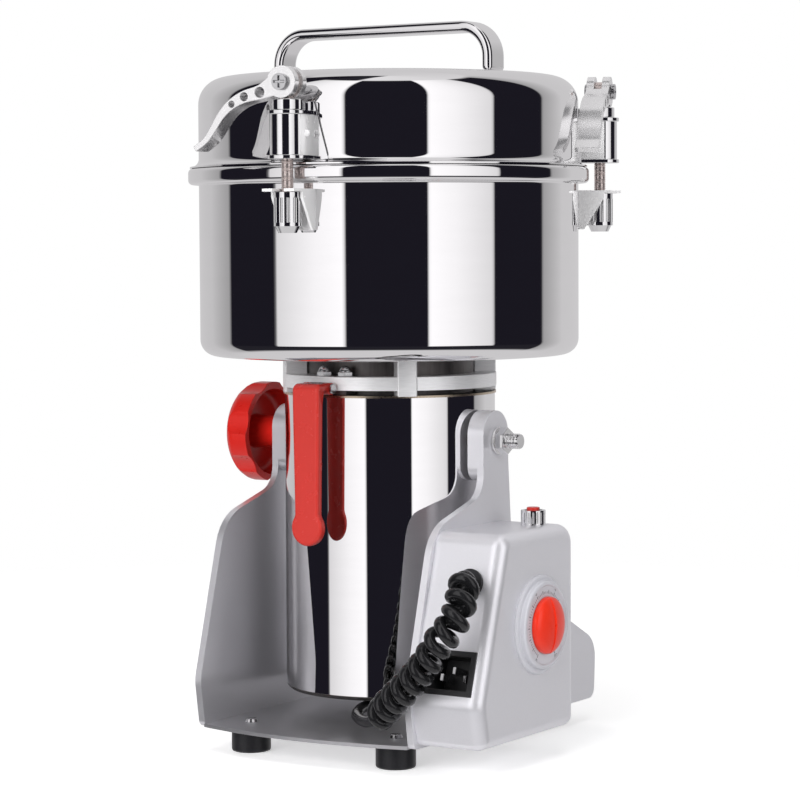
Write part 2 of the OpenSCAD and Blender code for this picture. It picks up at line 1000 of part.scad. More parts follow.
// The windings above and below the stack.
module stator_windings() {
    color("peru") placed() {
        ring(stator_z - winding_h, stator_z, winding_r, winding_in);
        ring(stator_z + stator_h, stator_z + stator_h + winding_h, winding_r, winding_in);
    }
}

// The lower and upper ball bearings.
module bearings() {
    color("lightgray") placed()
        for (z = [low_bearing_z, tube_top - bearing_h])
            ring(z, z + bearing_h, bearing_r, shaft_r + run_fit);
}

// Two holders that press the brushes on the commutator.
module brush_holders() {
    w = 10;
    color("goldenrod") placed()
        intersection() {
            ring(commutator_z, commutator_z + commutator_h, tube_in, commutator_r + turn_gap);
            translate([-w / 2, -tube_r, commutator_z + 3])
                cube([w, 2 * tube_r, w]);
        }
}

// Bosses that carry the pivot studs through the tube's wall.
module pivot_bosses() {
    color("gray") placed()
        for (side = [0, 1])
            mirror([side, 0, 0])
                translate([0, 0, pivot_z])
                    difference() {
                        bar_x(boss_in, ear_in - slide_gap, boss_r);
                        bar_x(boss_in - 1, ear_in + 1, stud_r);
                    }
}

// The two pivot studs, long enough for the nut and for the star knob.
module pivot_studs() {
    right_end = plate_out + slide_gap + washer_t + pivot_nut_h + stud_end;
    left_end = star_x + star_gap + star_depth - star_end_t - 1;
    color("gray") placed()
        translate([0, 0, pivot_z]) {
            bar_x(boss_in, right_end, stud_r);
            bar_x(-left_end, -boss_in, stud_r);
        }
}

// Washers outside both ears.
module pivot_washers() {
    washer_r = 7.6;
    color("gray") placed()
        for (side = [0, 1])
            mirror([side, 0, 0])
                translate([0, 0, pivot_z])
                    difference() {
                        bar_x(plate_out + slide_gap, plate_out + slide_gap + washer_t, washer_r);
                        bar_x(plate_out - 1, plate_out + slide_gap + washer_t + 1, stud_r);
                    }
}

// The hexagon nut on the right stud.
module pivot_nut() {
    color("gray") placed()
        translate([plate_out + slide_gap + washer_t, 0, pivot_z])
            rotate([0, 90, 0])
                difference() {
                    hexagon(0, pivot_nut_h, nut_af);
                    translate([0, 0, -1])
                        cylinder(h = pivot_nut_h + 2, r = stud_r);
                }
}

// Neck between motor and chamber

// The dark hub around the shaft.
module neck_hub() {
    color("dimgray") placed()
        ring(tube_top, bowl_z, hub_tube_r, hub_bore_r);
}

// One standoff post's block, from a height to another.
module post_blocks(from, to) {
    intersection() {
        ring(from, to, post_out, post_in);
        for (i = [0 : 3])
            rotate([0, 0, post_turn + 90 * i])
                translate([post_in - 6, -post_w / 2, from - 1])
                    cube([post_out, post_w, to - from + 2]);
    }
}

// The brushed ring under the chamber, notched for the posts.
module flange_ring() {
    color("silver") placed()
        difference() {
            ring(ring_z, ring_top, ring_r, hub_tube_r);
            post_blocks(ring_z - 1, ring_top + 1);
            for (side = [-1, 1])
                translate([bolt_x + side * bolt_spread, -bolt_y, ring_z - 1])
                    cylinder(h = ring_t + 2, r = screw_r);
        }
}

// Four posts that carry the chamber on the motor.
module standoff_posts() {
    color("silver") placed()
        post_blocks(tube_top, bowl_z);
}

// The bracket under the ring, with a lug for the red lever's pin.
module lever_bracket() {
    plate_z = ring_z - bracket_plate_t;
    reach = bolt_spread + bolt_edge;
    front = ring_r - 2;
    color("dimgray") placed()
        difference() {
            union() {
                translate([bolt_x - reach, -front, plate_z])
                    cube([2 * reach, front - bolt_y + bolt_edge, bracket_plate_t]);
                along_x(pull_x - lug_w / 2, pull_x + lug_w / 2) {
                    translate([-pull_pin_y, pull_pin_z])
                        circle(r = pull_barrel_r);
                    translate([-pull_pin_y, plate_z])
                        square([pull_pin_y - front + 1, bracket_plate_t]);
                }
            }
            translate([0, -pull_pin_y, pull_pin_z])
                bar_x(pull_x - lug_w, pull_x + lug_w, pull_pin_r);
            for (side = [-1, 1])
                translate([bolt_x + side * bolt_spread, -bolt_y, plate_z - 1])
                    cylinder(h = bracket_plate_t + 2, r = screw_r);
        }
}

// Two bolts with domed nuts that hold the bracket to the ring.
module bracket_bolts() {
    nut_h = 2.5;
    dome_r = 3.4;
    color("gainsboro") placed()
        for (side = [-1, 1])
            translate([bolt_x + side * bolt_spread, -bolt_y, 0]) {
                translate([0, 0, ring_z - bracket_plate_t])
                    cylinder(h = bracket_plate_t + ring_t + 1, r = screw_r);
                hexagon(ring_top, nut_h, acorn_af);
                intersection() {
                    translate([0, 0, ring_top + nut_h])
                        sphere(r = dome_r);
                    translate([0, 0, ring_top + nut_h - 0.5])
                        cylinder(h = dome_r + 1, r = dome_r);
                }
            }
}

// The pin of the red lever, with its head on the right.
module lever_pin() {
    outer = pull_w / 2 + turn_gap;
    color("gainsboro") placed()
        translate([pull_x, -pull_pin_y, pull_pin_z]) {
            bar_x(-outer - 0.5, outer + 1, pull_pin_r);
            bar_x(outer, outer + 1.4, pull_pin_r + 1.2);
        }
}

// The red lever: a bent strip with a round end, hung on its pin.
module release_lever() {
    top_z = pull_pin_z + 3;
    end_z = top_z - pull_len;
    half = pull_w / 2;
    slot = lug_w / 2 + turn_gap;
    color("red") placed()
        difference() {
            union() {
                along_x(pull_x - half, pull_x + half) {
                    translate([-pull_pin_y, pull_pin_z])
                        circle(r = pull_barrel_r);
                    polygon(rounded([
                        [-pull_pin_y, top_z - pull_tab_t, 0], [-pull_pin_y, top_z, 0],
                        [-pull_front_y, top_z, 4], [-pull_front_y, top_z - 12, 0],
                        [-pull_front_y + pull_t, top_z - 12, 0],
                        [-pull_front_y + pull_t, top_z - pull_tab_t, 2]
                    ]));
                }
                along_y(-pull_front_y, -pull_front_y + pull_t) {
                    polygon([
                        [pull_x - half, top_z - 10], [pull_x + half, top_z - 10],
                        [pull_x + half - 1.2, end_z], [pull_x - half + 1.2, end_z]
                    ]);
                    translate([pull_x, end_z])
                        circle(r = pull_end_r);
                }
            }
            translate([0, -pull_pin_y, pull_pin_z]) {
                bar_x(pull_x - half - 1, pull_x + half + 1, pull_pin_r + run_fit);
                bar_x(pull_x - slot, pull_x + slot, pull_barrel_r + turn_gap);
            }
        }
}

// Chamber and lid

// The chamber: a deep round bowl with a rolled rim.
module chamber() {
    inner_corner = bowl_corner_r - sheet_t;
    floor_z = bowl_z + sheet_t;
    color("lightgray") placed()
        rotate_extrude($fn = 128)
            polygon(concat(
                [[hub_bore_r, bowl_z]],
                fillet([0, bowl_z], [bowl_r, bowl_z], [bowl_r, rim_z], bowl_corner_r, 6),
                rounded([
                    [bowl_r, rim_z - rim_drop, 0], [rim_r, rim_z - rim_drop, 4],
                    [rim_r, rim_z, 2], [bowl_in, rim_z, 0]
                ]),
                fillet([bowl_in, rim_z], [bowl_in, floor_z], [0, floor_z], inner_corner, 6),
                [[hub_bore_r, floor_z]]
            ));
}

// The seal where the shaft enters the chamber.
module shaft_seal() {
    color("black") placed()
        ring(bowl_z - seal_h / 2, bowl_z + seal_h / 2, hub_bore_r, shaft_r + run_fit);
}

// Height of the lid's crown at a distance from the axis, above its edge.
function crown(r, reach) = lid_crown * (1 - (r / reach) * (r / reach));

// The lid's outline from its lip to the crown's middle, smaller by a margin.
function lid_line(margin) =
    let (
        wall = bowl_r - margin,
        top = lid_edge_z - margin,
        reach = bowl_r - lid_edge_r
    )
    concat(
        fillet([wall, rim_z], [wall, top], [0, top], lid_edge_r - margin, 6),
        [for (i = [1 : 6]) let (r = reach * (1 - i / 6)) [r, top + crown(r, reach)]]
    );

// The lid's lip, which flares out over the rim.
lid_lip = concat(
    [[lip_r, rim_z], [lip_r, rim_z + 1]],
    fillet([lip_r + 1, rim_z + 1], [bowl_r, rim_z + 1], [bowl_r, lid_edge_z], lip_r - bowl_r - 0.5, 5)
);

// The lid's sheet, cut through its axis.
module lid_section() {
    inner = lid_line(sheet_t);
    polygon(concat(
        [[bowl_in, rim_z]],
        lid_lip,
        lid_line(0),
        [for (i = [len(inner) - 1 : -1 : 0]) inner[i]]
    ));
}

// Everything above the seam in the lid's bend.
module above_lid_seam() {
    translate([-1, lid_seam_z])
        square([lip_r + 2, lid_h]);
}

// The lid's cover, above the seam.
module lid() {
    color("lightgray") placed()
        rotate_extrude($fn = 128)
            intersection() {
                lid_section();
                above_lid_seam();
            }
}

// The lid's wall with its lip, below the seam.
module lid_wall() {
    color("lightgray") placed()
        rotate_extrude($fn = 128)
            difference() {
                lid_section();
                above_lid_seam();
            }
}

// Everything inside the lid's outer surface.
module lid_solid() {
    rotate_extrude($fn = 128)
        polygon(concat([[0, rim_z]], lid_lip, lid_line(0)));
}

// The soft seal inside the lid's edge.
module lid_seal() {
    color("white") placed()
        ring(rim_z, rim_z + seal_h, bowl_in, bowl_in - seal_ring_t);
}

// The flat bent handle on the lid.
module lid_handle() {
    half = handle_len / 2;
    inner = half - handle_t;
    under = handle_top - handle_t;
    foot_z = lid_edge_z - 6;
    bend_r = 20;
    bend_steps = 12;
    color("lightgray") placed()
        difference() {
            translate([handle_x, 0, 0])
                along_y(-handle_w / 2, handle_w / 2)
                    difference() {
                        polygon(rounded([
                            [-half, foot_z, 0], [-half, handle_top, bend_r],
                            [half, handle_top, bend_r], [half, foot_z, 0]
                        ], bend_steps));
                        polygon(rounded([
                            [-inner, foot_z - 1, 0], [-inner, under, bend_r - handle_t],
                            [inner, under, bend_r - handle_t], [inner, foot_z - 1, 0]
                        ], bend_steps));
                    }
            lid_solid();
        }
}

// Clamps

// An open slot for the rod, in a plate between two heights.
module rod_slot(from, to) {
    half = rod_r + slot_gap;
    translate([rod_x, 0, from - 1])
        cylinder(h = to - from + 2, r = half);
    translate([rod_x, -half, from - 1])
        cube([2 * rod_out, 2 * half, to - from + 2]);
}

// Sheet-metal saddles on the lid, which the bushes press on.
module lid_saddles() {
    half = saddle_w / 2;
    wing = 9;
    back = bowl_r - 6;
    front_r = half - 0.2;
    outline = [
        [back, -half, 0], [saddle_reach, -half, front_r], [saddle_reach, half, front_r], [back, half, 0]
    ];
    hollow = [
        [back - 1, -half + bracket_t, 0], [saddle_reach - bracket_t, -half + bracket_t, front_r - bracket_t],
        [saddle_reach - bracket_t, half - bracket_t, front_r - bracket_t], [back - 1, half - bracket_t, 0]
    ];
    plate = [
        [back, -half - saddle_lip, 0], [saddle_reach + saddle_lip, -half - saddle_lip, front_r],
        [saddle_reach + saddle_lip, half + saddle_lip, front_r], [back, half + saddle_lip, 0]
    ];
    color("gainsboro") placed()
        at_clamps()
            difference() {
                union() {
                    difference() {
                        translate([0, 0, saddle_z])
                            linear_extrude(saddle_h)
                                polygon(rounded(outline));
                        translate([0, 0, saddle_z - 1])
                            linear_extrude(saddle_h + 2)
                                polygon(rounded(hollow));
                    }
                    for (z = [saddle_z, saddle_top - saddle_plate_t])
                        translate([0, 0, z])
                            linear_extrude(saddle_plate_t)
                                polygon(rounded(plate));
                    intersection() {
                        along_x(back, bowl_r + 3)
                            polygon([
                                [-half - wing, saddle_z], [half + wing, saddle_z],
                                [half + 1, saddle_top + 5], [-half - 1, saddle_top + 5]
                            ]);
                        translate([0, 0, saddle_z - 1])
                            cylinder(h = saddle_h + 10, r = bowl_r + bracket_t, $fn = 128);
                    }
                }
                lid_solid();
                translate([rod_x, 0, saddle_z - 1])
                    cylinder(h = saddle_h + 2, r = rod_r + slot_gap);
            }
}

// Round bushes between the saddles and the cam levers.
module cam_bushes() {
    color("lightgray") placed()
        at_clamps()
            translate([rod_x, 0, 0])
                ring(saddle_top, saddle_top + bush_h, bush_r, rod_r);
}

// Threaded rods with an eye at the top for the levers' screws.
module clamp_rods() {
    low = bracket_top - bracket_t - nut_h;
    neck_z = saddle_top + bush_h;
    color("rosybrown") placed()
        at_rods()
            difference() {
                union() {
                    translate([rod_x, 0, low])
                        cylinder(h = neck_z - low, r = rod_r);
                    translate([rod_x - eye_w / 2, -rod_r, neck_z])
                        cube([eye_w, 2 * rod_r, hub_z - neck_z]);
                    translate([0, 0, hub_z])
                        bar_x(rod_x - eye_w / 2, rod_x + eye_w / 2, eye_r);
                }
                translate([0, 0, hub_z])
                    bar_x(rod_x - eye_w, rod_x + eye_w, cam_pin_r);
            }
}

// Cross-slotted screws that the cam levers turn on.
module cam_screws() {
    half = lever_w / 2 + slide_gap;
    cross_w = 1.2;
    color("gray") placed()
        at_rods()
            translate([rod_x, 0, hub_z])
                difference() {
                    union() {
                        bar_x(-half - 1.5, half + 1, cam_pin_r);
                        bar_x(half, half + cam_head_h, cam_head_r);
                        bar_x(-half - 1.5, -half, cam_head_r);
                    }
                    for (turn = [0, 90])
                        rotate([turn, 0, 0])
                            translate([half + cam_head_h - 1, -cam_head_r + 1.2, -cross_w / 2])
                                cube([2, 2 * cam_head_r - 2.4, cross_w]);
                }
}

// Brackets on the chamber wall that the adjusting nuts pull on.
module clamp_brackets() {
    low = bracket_top - bracket_h;
    under = bracket_top - bracket_t;
    back = bowl_r - 4;
    gusset_reach = rod_x + 1;
    color("gainsboro") placed()
        at_clamps()
            difference() {
                union() {
                    translate([back, -bracket_half, under])
                        cube([bracket_reach - back, 2 * bracket_half, bracket_t]);
                    for (start = [-bracket_half, bracket_half - bracket_t])
                        along_y(start, start + bracket_t)
                            polygon([
                                [back, low], [bowl_r + 3, low], [gusset_reach, under - 3],
                                [gusset_reach, bracket_top], [back, bracket_top]
                            ]);
                    intersection() {
                        translate([back, -bracket_half, low])
                            cube([2 * rod_out, 2 * bracket_half, bracket_h]);
                        translate([0, 0, low - 1])
                            cylinder(h = bracket_h + 2, r = bowl_r + bracket_t, $fn = 128);
                    }
                }
                translate([0, 0, low - 1])
                    cylinder(h = bracket_h + 2, r = bowl_r, $fn = 128);
                rod_slot(under, bracket_top);
            }
}

// The lever's arm in the plane of the wall, from its hub: [along, up, half height].
lever_arm = curve([
    [-5, -2, 5.5], [-12.6, -5.1, 3.8], [-22.2, -7.3, 3.2], [-29.8, -10.9, 2.7], [-36, -16.4, 2.2],
    [-41, -23.5, 1.8], [-46, -29.8, 1.6], [-52.5, -34.2, 1.5]
], 4);
lever_holes = [[-12.8, -5.2, 2.8], [-22.2, -7.3, 2.3], [-29.8, -11, 1.8]];

// The point beside the arm's line, above or below it.
function arm_side(i, sign) =
    let (
        n = len(lever_arm),
        a = lever_arm[max(i - 1, 0)],
        b = lever_arm[min(i + 1, n - 1)],
        t = unit([b[0] - a[0], b[1] - a[1]]),
        p = lever_arm[i]
    )
    [p[0], p[1]] + sign * p[2] * [t[1], -t[0]];

// A cam lever with a forked hub and a bent, pierced arm.
module cam_lever(index) {
    n = len(lever_arm);
    from = rod_x - lever_w / 2;
    to = rod_x + lever_w / 2;
    slot = eye_w / 2 + slide_gap;
    color("lightgray") placed()
        at_rod(index)
            translate([0, 0, hub_z])
                difference() {
                    along_x(from, to)
                        difference() {
                            union() {
                                circle(r = hub_r);
                                polygon(concat(
                                    [for (i = [0 : n - 1]) arm_side(i, 1)],
                                    [for (i = [n - 1 : -1 : 0]) arm_side(i, -1)]
                                ));
                            }
                            for (hole = lever_holes)
                                translate([hole[0], hole[1]])
                                    circle(r = hole[2]);
                        }
                    bar_x(rod_x - slot, rod_x + slot, hub_r + 1);
                    bar_x(from - 1, to + 1, cam_pin_r + run_fit);
                }
}

// A fluted adjusting nut with a rounded end.
module adjusting_nut(index) {
    top = bracket_top - bracket_t - slide_gap;
    low = top - nut_h;
    color("lightgray") placed()
        at_clamp(index)
            translate([rod_x, 0, 0])
                difference() {
                    union() {
                        translate([0, 0, low])
                            cylinder(h = nut_h, r = nut_r);
                        translate([0, 0, low - nut_tip_h])
                            cylinder(h = nut_tip_h, r1 = nut_r - 2.5, r2 = nut_r - 0.8);
                    }
                    translate([0, 0, low - slide_gap])
                        cylinder(h = nut_h + 1, r = rod_r + run_fit);
                    for (i = [0 : flute_count - 1])
                        rotate([0, 0, i * 360 / flute_count])
                            translate([nut_r + 0.3, 0, low + 2])
                                cylinder(h = nut_h - 5, r = flute_r);
                }
}

// Rotor

module rotor_shaft() {
    shoulder = bowl_z + 6;
    end = blade_z + blade_step + blade_t + 9;
    color("gray") placed() {
        translate([0, 0, low_bearing_z + 0.5])
            cylinder(h = shoulder - low_bearing_z - 0.5, r = shaft_r);
        translate([0, 0, shoulder - 1])
            cylinder(h = end - shoulder + 1, r = blade_shaft_r);
    }
}

module rotor_core() {
    color("slategray") placed()
        ring(stator_z + 2, stator_z + stator_h - 2, rotor_r, shaft_r);
}

module commutator() {
    color("goldenrod") placed()
        ring(commutator_z, commutator_z + commutator_h, commutator_r, shaft_r);
}

// The fan that draws air through the motor.
module cooling_fan() {
    blade_count = 10;
    color("dimgray") placed() {
        ring(fan_z, fan_z + fan_h, shaft_r + 8, shaft_r);
        ring(fan_z, fan_z + 2, fan_r, shaft_r + 7);
        for (i = [0 : blade_count - 1])
            rotate([0, 0, i * 360 / blade_count])
                translate([shaft_r + 7, -0.75, fan_z + 1])
                    cube([fan_r - shaft_r - 9, 1.5, fan_h - 1]);
    }
}

// One flat blade with slanted, sharpened ends.
module blade(r, z) {
    tip = 8;
    difference() {
        translate([0, 0, z])
            linear_extrude(blade_t)
                polygon([
                    [-r, -blade_w / 2], [r - tip, -blade_w / 2], [r, blade_w / 2], [-r + tip, blade_w / 2]
                ]);
        translate([0, 0, z - 1])
            cylinder(h = blade_t + 2, r = blade_shaft_r);
    }
}

// The lower and upper chopping blades.
module blades() {
    cross_turn = 65;
    color("silver") placed() {
        blade(blade_r, blade_z);
        rotate([0, 0, cross_turn])
            blade(upper_blade_r, blade_z + blade_step);
    }
}

// Sleeves that set the blades' heights.
module blade_spacers() {
    spacer_r = 11;
    color("gray") placed() {
        ring(bowl_z + 6, blade_z, spacer_r, blade_shaft_r);
        ring(blade_z + blade_t, blade_z + blade_step, spacer_r, blade_shaft_r);
    }
}

// The nut that holds the blades.
module blade_nut() {
    z = blade_z + blade_step + blade_t;
    color("gray") placed()
        difference() {
            hexagon(z, 7, 19);
            translate([0, 0, z - 1])
                cylinder(h = 9, r = blade_shaft_r);
        }
}

// Star knob

// The scalloped red knob on the left stud, hollow towards the ear.
module star_knob() {
    round_r = 8;
    scallop_r = 15;
    scallop_depth = 2.2;
    floor_h = star_depth - star_end_t;
    color("crimson") placed()
        translate([0, 0, pivot_z])
            mirror([1, 0, 0])
                translate([star_x + star_gap, 0, 0])
                    rotate([0, 90, 0])
                        difference() {
                            union() {
                                rotate_extrude()
                                    polygon(concat(
                                        [[0, floor_h]],
                                        fillet([0, floor_h], [star_r - star_wall, floor_h],
                                            [star_r - star_wall, 0], 4, 4),
                                        [[star_r - star_wall, 0], [star_r, 0]],
                                        fillet([star_r, 0], [star_r, star_depth],
                                            [0, star_depth], round_r, 5),
                                        [[0, star_depth]]
                                    ));
                                translate([0, 0, -star_gap])
                                    cylinder(h = star_gap + floor_h + 1,
                                        r1 = star_hub_r - 1.5, r2 = star_hub_r);
                            }
                            translate([0, 0, -star_gap - 1])
                                cylinder(h = star_gap + floor_h + 1, r = stud_r + run_fit);
                            for (i = [0 : star_count - 1])
                                rotate([0, 0, i * 360 / star_count])
                                    translate([star_r + scallop_r - scallop_depth, 0, -1])
                                        cylinder(h = star_depth + 2, r = scallop_r);
                        }
}
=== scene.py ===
# %% [markdown]
# # Electric spice grinder
# The grinder is a mirror-polished chamber on a motor tube, held between the ears of a painted stand. The
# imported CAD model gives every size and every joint. This lesson dresses it: round polished pieces are
# turned from a profile, sheet and cast pieces keep their CAD shape and get broken edges, and small
# repeated details such as threads and dial ticks come from Geometry Nodes.

# %% Load the frame
import json
import math

import bmesh
import bpy
import numpy as np
from mathutils import Matrix, Vector


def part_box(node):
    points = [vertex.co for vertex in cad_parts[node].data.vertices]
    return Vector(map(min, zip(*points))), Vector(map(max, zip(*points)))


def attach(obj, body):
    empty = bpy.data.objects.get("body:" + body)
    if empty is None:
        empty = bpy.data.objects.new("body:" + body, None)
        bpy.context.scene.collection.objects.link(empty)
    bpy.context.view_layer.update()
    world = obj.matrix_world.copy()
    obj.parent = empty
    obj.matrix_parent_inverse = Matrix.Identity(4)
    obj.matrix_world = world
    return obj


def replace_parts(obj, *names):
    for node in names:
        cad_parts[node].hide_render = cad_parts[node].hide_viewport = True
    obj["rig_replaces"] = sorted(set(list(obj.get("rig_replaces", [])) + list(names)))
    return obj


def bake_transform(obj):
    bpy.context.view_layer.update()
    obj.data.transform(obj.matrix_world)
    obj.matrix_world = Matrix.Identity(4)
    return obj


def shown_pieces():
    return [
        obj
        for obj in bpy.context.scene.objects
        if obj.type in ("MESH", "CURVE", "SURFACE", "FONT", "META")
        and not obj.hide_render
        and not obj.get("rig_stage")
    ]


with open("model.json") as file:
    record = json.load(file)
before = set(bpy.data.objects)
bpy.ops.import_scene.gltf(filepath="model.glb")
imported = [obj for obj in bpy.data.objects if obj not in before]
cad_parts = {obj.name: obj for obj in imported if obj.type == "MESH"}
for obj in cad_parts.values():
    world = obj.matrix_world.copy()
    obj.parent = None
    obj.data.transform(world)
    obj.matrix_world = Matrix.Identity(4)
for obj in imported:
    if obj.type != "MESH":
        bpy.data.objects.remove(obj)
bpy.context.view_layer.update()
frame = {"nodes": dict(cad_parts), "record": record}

MM = 0.001
chamber_low, chamber_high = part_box("chamber")
AXIS = Vector(((chamber_low.x + chamber_high.x) / 2, (chamber_low.y + chamber_high.y) / 2, 0))
UP = Vector((0, 0, 1))
record = frame["record"]
body_of = {node: body for body, nodes in record["behaviour"]["bodies"].items() for node in nodes}
slot_of = {part["node"]: part["material_slot"] for part in record["subparts"]}


def at(x, y, z):
    """A point given in millimetres from the foot of the motor's axis."""
    return AXIS + Vector((x, y, z)) * MM


def add_object(name, data):
    """A new object in the scene."""
    made = bpy.data.objects.new(name, data)
    bpy.context.scene.collection.objects.link(made)
    return made


print("motor axis at", tuple(round(v, 4) for v in AXIS), "nodes", len(frame["nodes"]))

# %% [markdown]
# ## Camera
# The picture is taken from the front right with a long lens, a little above the chamber's middle. A
# camera can be aimed with a Track To constraint, but its matrix is written here, because the horizon also
# has a very small roll that a constraint can't hold.

# %% Camera
VIEW_TURN, ROLL = math.radians(32.8), math.radians(-0.3)
EYE_DISTANCE, EYE_HEIGHT = 1.5578, 0.2873
TARGET_SIDE, TARGET_HEIGHT = 0.00574, 0.1938
LENS, SENSOR, VIEW_DEPTH = 123.65, 36, 50
toward_camera = Vector((math.sin(VIEW_TURN), -math.cos(VIEW_TURN), 0))
across_view = Vector((math.cos(VIEW_TURN), math.sin(VIEW_TURN), 0))
eye = AXIS + toward_camera * EYE_DISTANCE + UP * EYE_HEIGHT
target = AXIS + across_view * TARGET_SIDE + UP * TARGET_HEIGHT

look = (target - eye).normalized()
level_right = look.cross(UP).normalized()
level_up = level_right.cross(look)
camera_right = level_right * math.cos(ROLL) + level_up * math.sin(ROLL)
camera_up = level_up * math.cos(ROLL) - level_right * math.sin(ROLL)
camera_data = bpy.data.cameras.new("camera")
camera_data.lens = LENS
camera_data.sensor_width = SENSOR
camera_data.clip_end = VIEW_DEPTH
camera = add_object("camera", camera_data)
turn = Matrix((camera_right, camera_up, -look)).transposed().to_4x4()
camera.matrix_world = Matrix.Translation(eye) @ turn
bpy.context.scene.camera = camera
bpy.context.scene.view_settings.view_transform = "Standard"
print("camera at", tuple(round(v, 3) for v in eye))

# %% [markdown]
# ## Studio
# Polished steel has no colour of its own: it shows the studio. The bold black and white stripes on the
# chamber are two tall white panels in front of black cloth, with pale walls at the sides. Real cards
# round the object would do, but they would stand in the way of other views, so the world itself carries
# them: a ray that leaves a shiny surface reads the stripe from its compass direction, and the camera sees
# white.

# %% Small helpers for shader nodes
def add_node(tree, kind, settings=None, **inputs):
    """A shader node with its settings, and its input sockets set or linked."""
    made = tree.nodes.new(kind)
    for name, value in (settings or {}).items():
        setattr(made, name, value)
    for name, value in inputs.items():
        by_number = name[0] == "i" and name[1:].isdigit()
        socket = made.inputs[int(name[1:]) if by_number else name.replace("_", " ")]
        if isinstance(value, bpy.types.NodeSocket):
            tree.links.new(value, socket)
        else:
            socket.default_value = value
    return made


def math_node(tree, operation, a, b=0.0, c=0.0):
    """The result of one calculation."""
    return add_node(tree, "ShaderNodeMath", {"operation": operation}, i0=a, i1=b, i2=c).outputs[0]


def ramp(tree, factor, stops):
    """A colour ramp from (place, colour) pairs."""
    made = add_node(tree, "ShaderNodeValToRGB", Fac=factor)
    band = made.color_ramp
    band.elements[0].position = stops[0][0]
    band.elements[0].color = (*stops[0][1], 1)
    band.elements[1].position = stops[-1][0]
    band.elements[1].color = (*stops[-1][1], 1)
    for place, colour in stops[1:-1]:
        band.elements.new(place).color = (*colour, 1)
    return made.outputs["Color"]


print("shader helpers ready")

# %% Direction of a ray
world = bpy.data.worlds.new("studio")
bpy.context.scene.world = world
world.use_nodes = True
sky = world.node_tree
sky.nodes.clear()
direction = add_node(sky, "ShaderNodeTexCoord").outputs["Generated"]


def ray_along(way):
    """How far a ray points along a level direction."""
    product = add_node(sky, "ShaderNodeVectorMath", {"operation": "DOT_PRODUCT"}, i0=direction, i1=way)
    return product.outputs["Value"]


compass = math_node(sky, "ARCTAN2", ray_along(across_view), ray_along(toward_camera))
height = add_node(sky, "ShaderNodeSeparateXYZ", Vector=direction).outputs["Z"]
round_share = math_node(sky, "MULTIPLY_ADD", compass, 1 / (2 * math.pi), 0.5)
tilt_share = math_node(sky, "MULTIPLY_ADD", math_node(sky, "ARCSINE", height), 1 / math.pi, 0.5)
print("world nodes for the ray's direction", len(sky.nodes))

# %% Bands of the studio
GREEN_SHARE = 0.985


def grey(value):
    """A grey with the studio's faint tint."""
    return (value, value * GREEN_SHARE, value)


def by_compass(stops):
    """A colour by the ray's compass direction, in degrees from the camera's side."""
    return ramp(sky, round_share, [(degrees / 360 + 0.5, colour) for degrees, colour in stops])


def above(low, high):
    """A share that grows from 0 to 1 between two tilts of the ray, in degrees."""
    stops = [(-90, 0), (low, 0), (high, 1), (90, 1)]
    return ramp(sky, tilt_share, [(degrees / 180 + 0.5, grey(value)) for degrees, value in stops])


def over(under, upper, share):
    """One colour over another by a share."""
    mixed = add_node(sky, "ShaderNodeMix", {"data_type": "RGBA"}, Factor=share, i6=under, i7=upper)
    return mixed.outputs[2]


BLACK, WHITE, AMBIENT = (0.0105, 0.0095, 0.015), (1, 1, 1, 1), 0.22
FLOOR_TONE = (0.62, 0.61, 0.62, 1)
WALLS_LEFT = [(-180, grey(0.62)), (-135, grey(0.56)), (-112, grey(0.36)), (-110, BLACK)]
WALLS_RIGHT = [(104, BLACK), (106, grey(0.36)), (128, grey(0.6)), (180, grey(0.62))]
PANELS = [
    (-72, BLACK), (-70.5, grey(0.74)), (-45, grey(1.0)), (-27, grey(1.1)), (-26, BLACK),
    (23, BLACK), (24, grey(1.1)), (40, grey(1.0)), (64.5, grey(0.76)), (65.5, BLACK)
]
CEILING = [
    (-180, grey(0.62)), (-112, grey(0.62)), (-108, BLACK), (-34, BLACK), (-28, grey(0.8)), (180, grey(0.62))
]
studio = over(FLOOR_TONE, by_compass(WALLS_LEFT + WALLS_RIGHT), above(-38, -30))
studio = over(studio, by_compass(WALLS_LEFT + PANELS + WALLS_RIGHT), above(-12, -11))
studio = over(studio, by_compass(CEILING), above(63, 66))
rays = add_node(sky, "ShaderNodeLightPath").outputs
soft_light = over((*grey(AMBIENT), 1), studio, rays["Is Glossy Ray"])
seen = over(soft_light, WHITE, rays["Is Camera Ray"])
background = add_node(sky, "ShaderNodeBackground", Color=seen, Strength=1.0)
add_node(sky, "ShaderNodeOutputWorld", Surface=background.outputs[0])
print("world nodes", len(sky.nodes))

# %% [markdown]
# The lamps are large and soft. A key lamp stands in front, a weaker one on the right lifts the side of
# the control box, one hangs overhead and one stands behind on the left. They are hidden from shiny
# surfaces, so the stripes stay clean. Point lamps would be quicker, but their shadows have hard edges.

# %% Lamps
AIM_HEIGHT = 0.2


def soft_lamp(name, place, size, watts):
    """A large lamp that looks at the object and doesn't show in shiny surfaces."""
    data = bpy.data.lights.new(name, "AREA")
    data.size = size
    data.energy = watts
    lamp = add_object(name, data)
    lamp.location = place
    lamp.rotation_euler = (AXIS + UP * AIM_HEIGHT - Vector(place)).to_track_quat("-Z", "Y").to_euler()
    lamp.visible_glossy = False


soft_lamp("key_lamp", (0.1, -2.1, 0.7), 1.3, 44)
soft_lamp("side_lamp", (2.0, -0.3, 0.8), 1.2, 18)
soft_lamp("top_lamp", (0.2, -0.6, 2.4), 1.5, 22)
soft_lamp("rear_lamp", (-1.7, 1.3, 0.9), 1.2, 16)
print("lamps", len(bpy.data.lights))

# %% [markdown]
# The floor is pale and keeps a soft shadow. A shadow catcher would do, but it needs a picture laid under
# it later. So a plain sheet fades out far from the object, and a little light of its own, which only the
# camera sees, makes it as white as the backdrop.

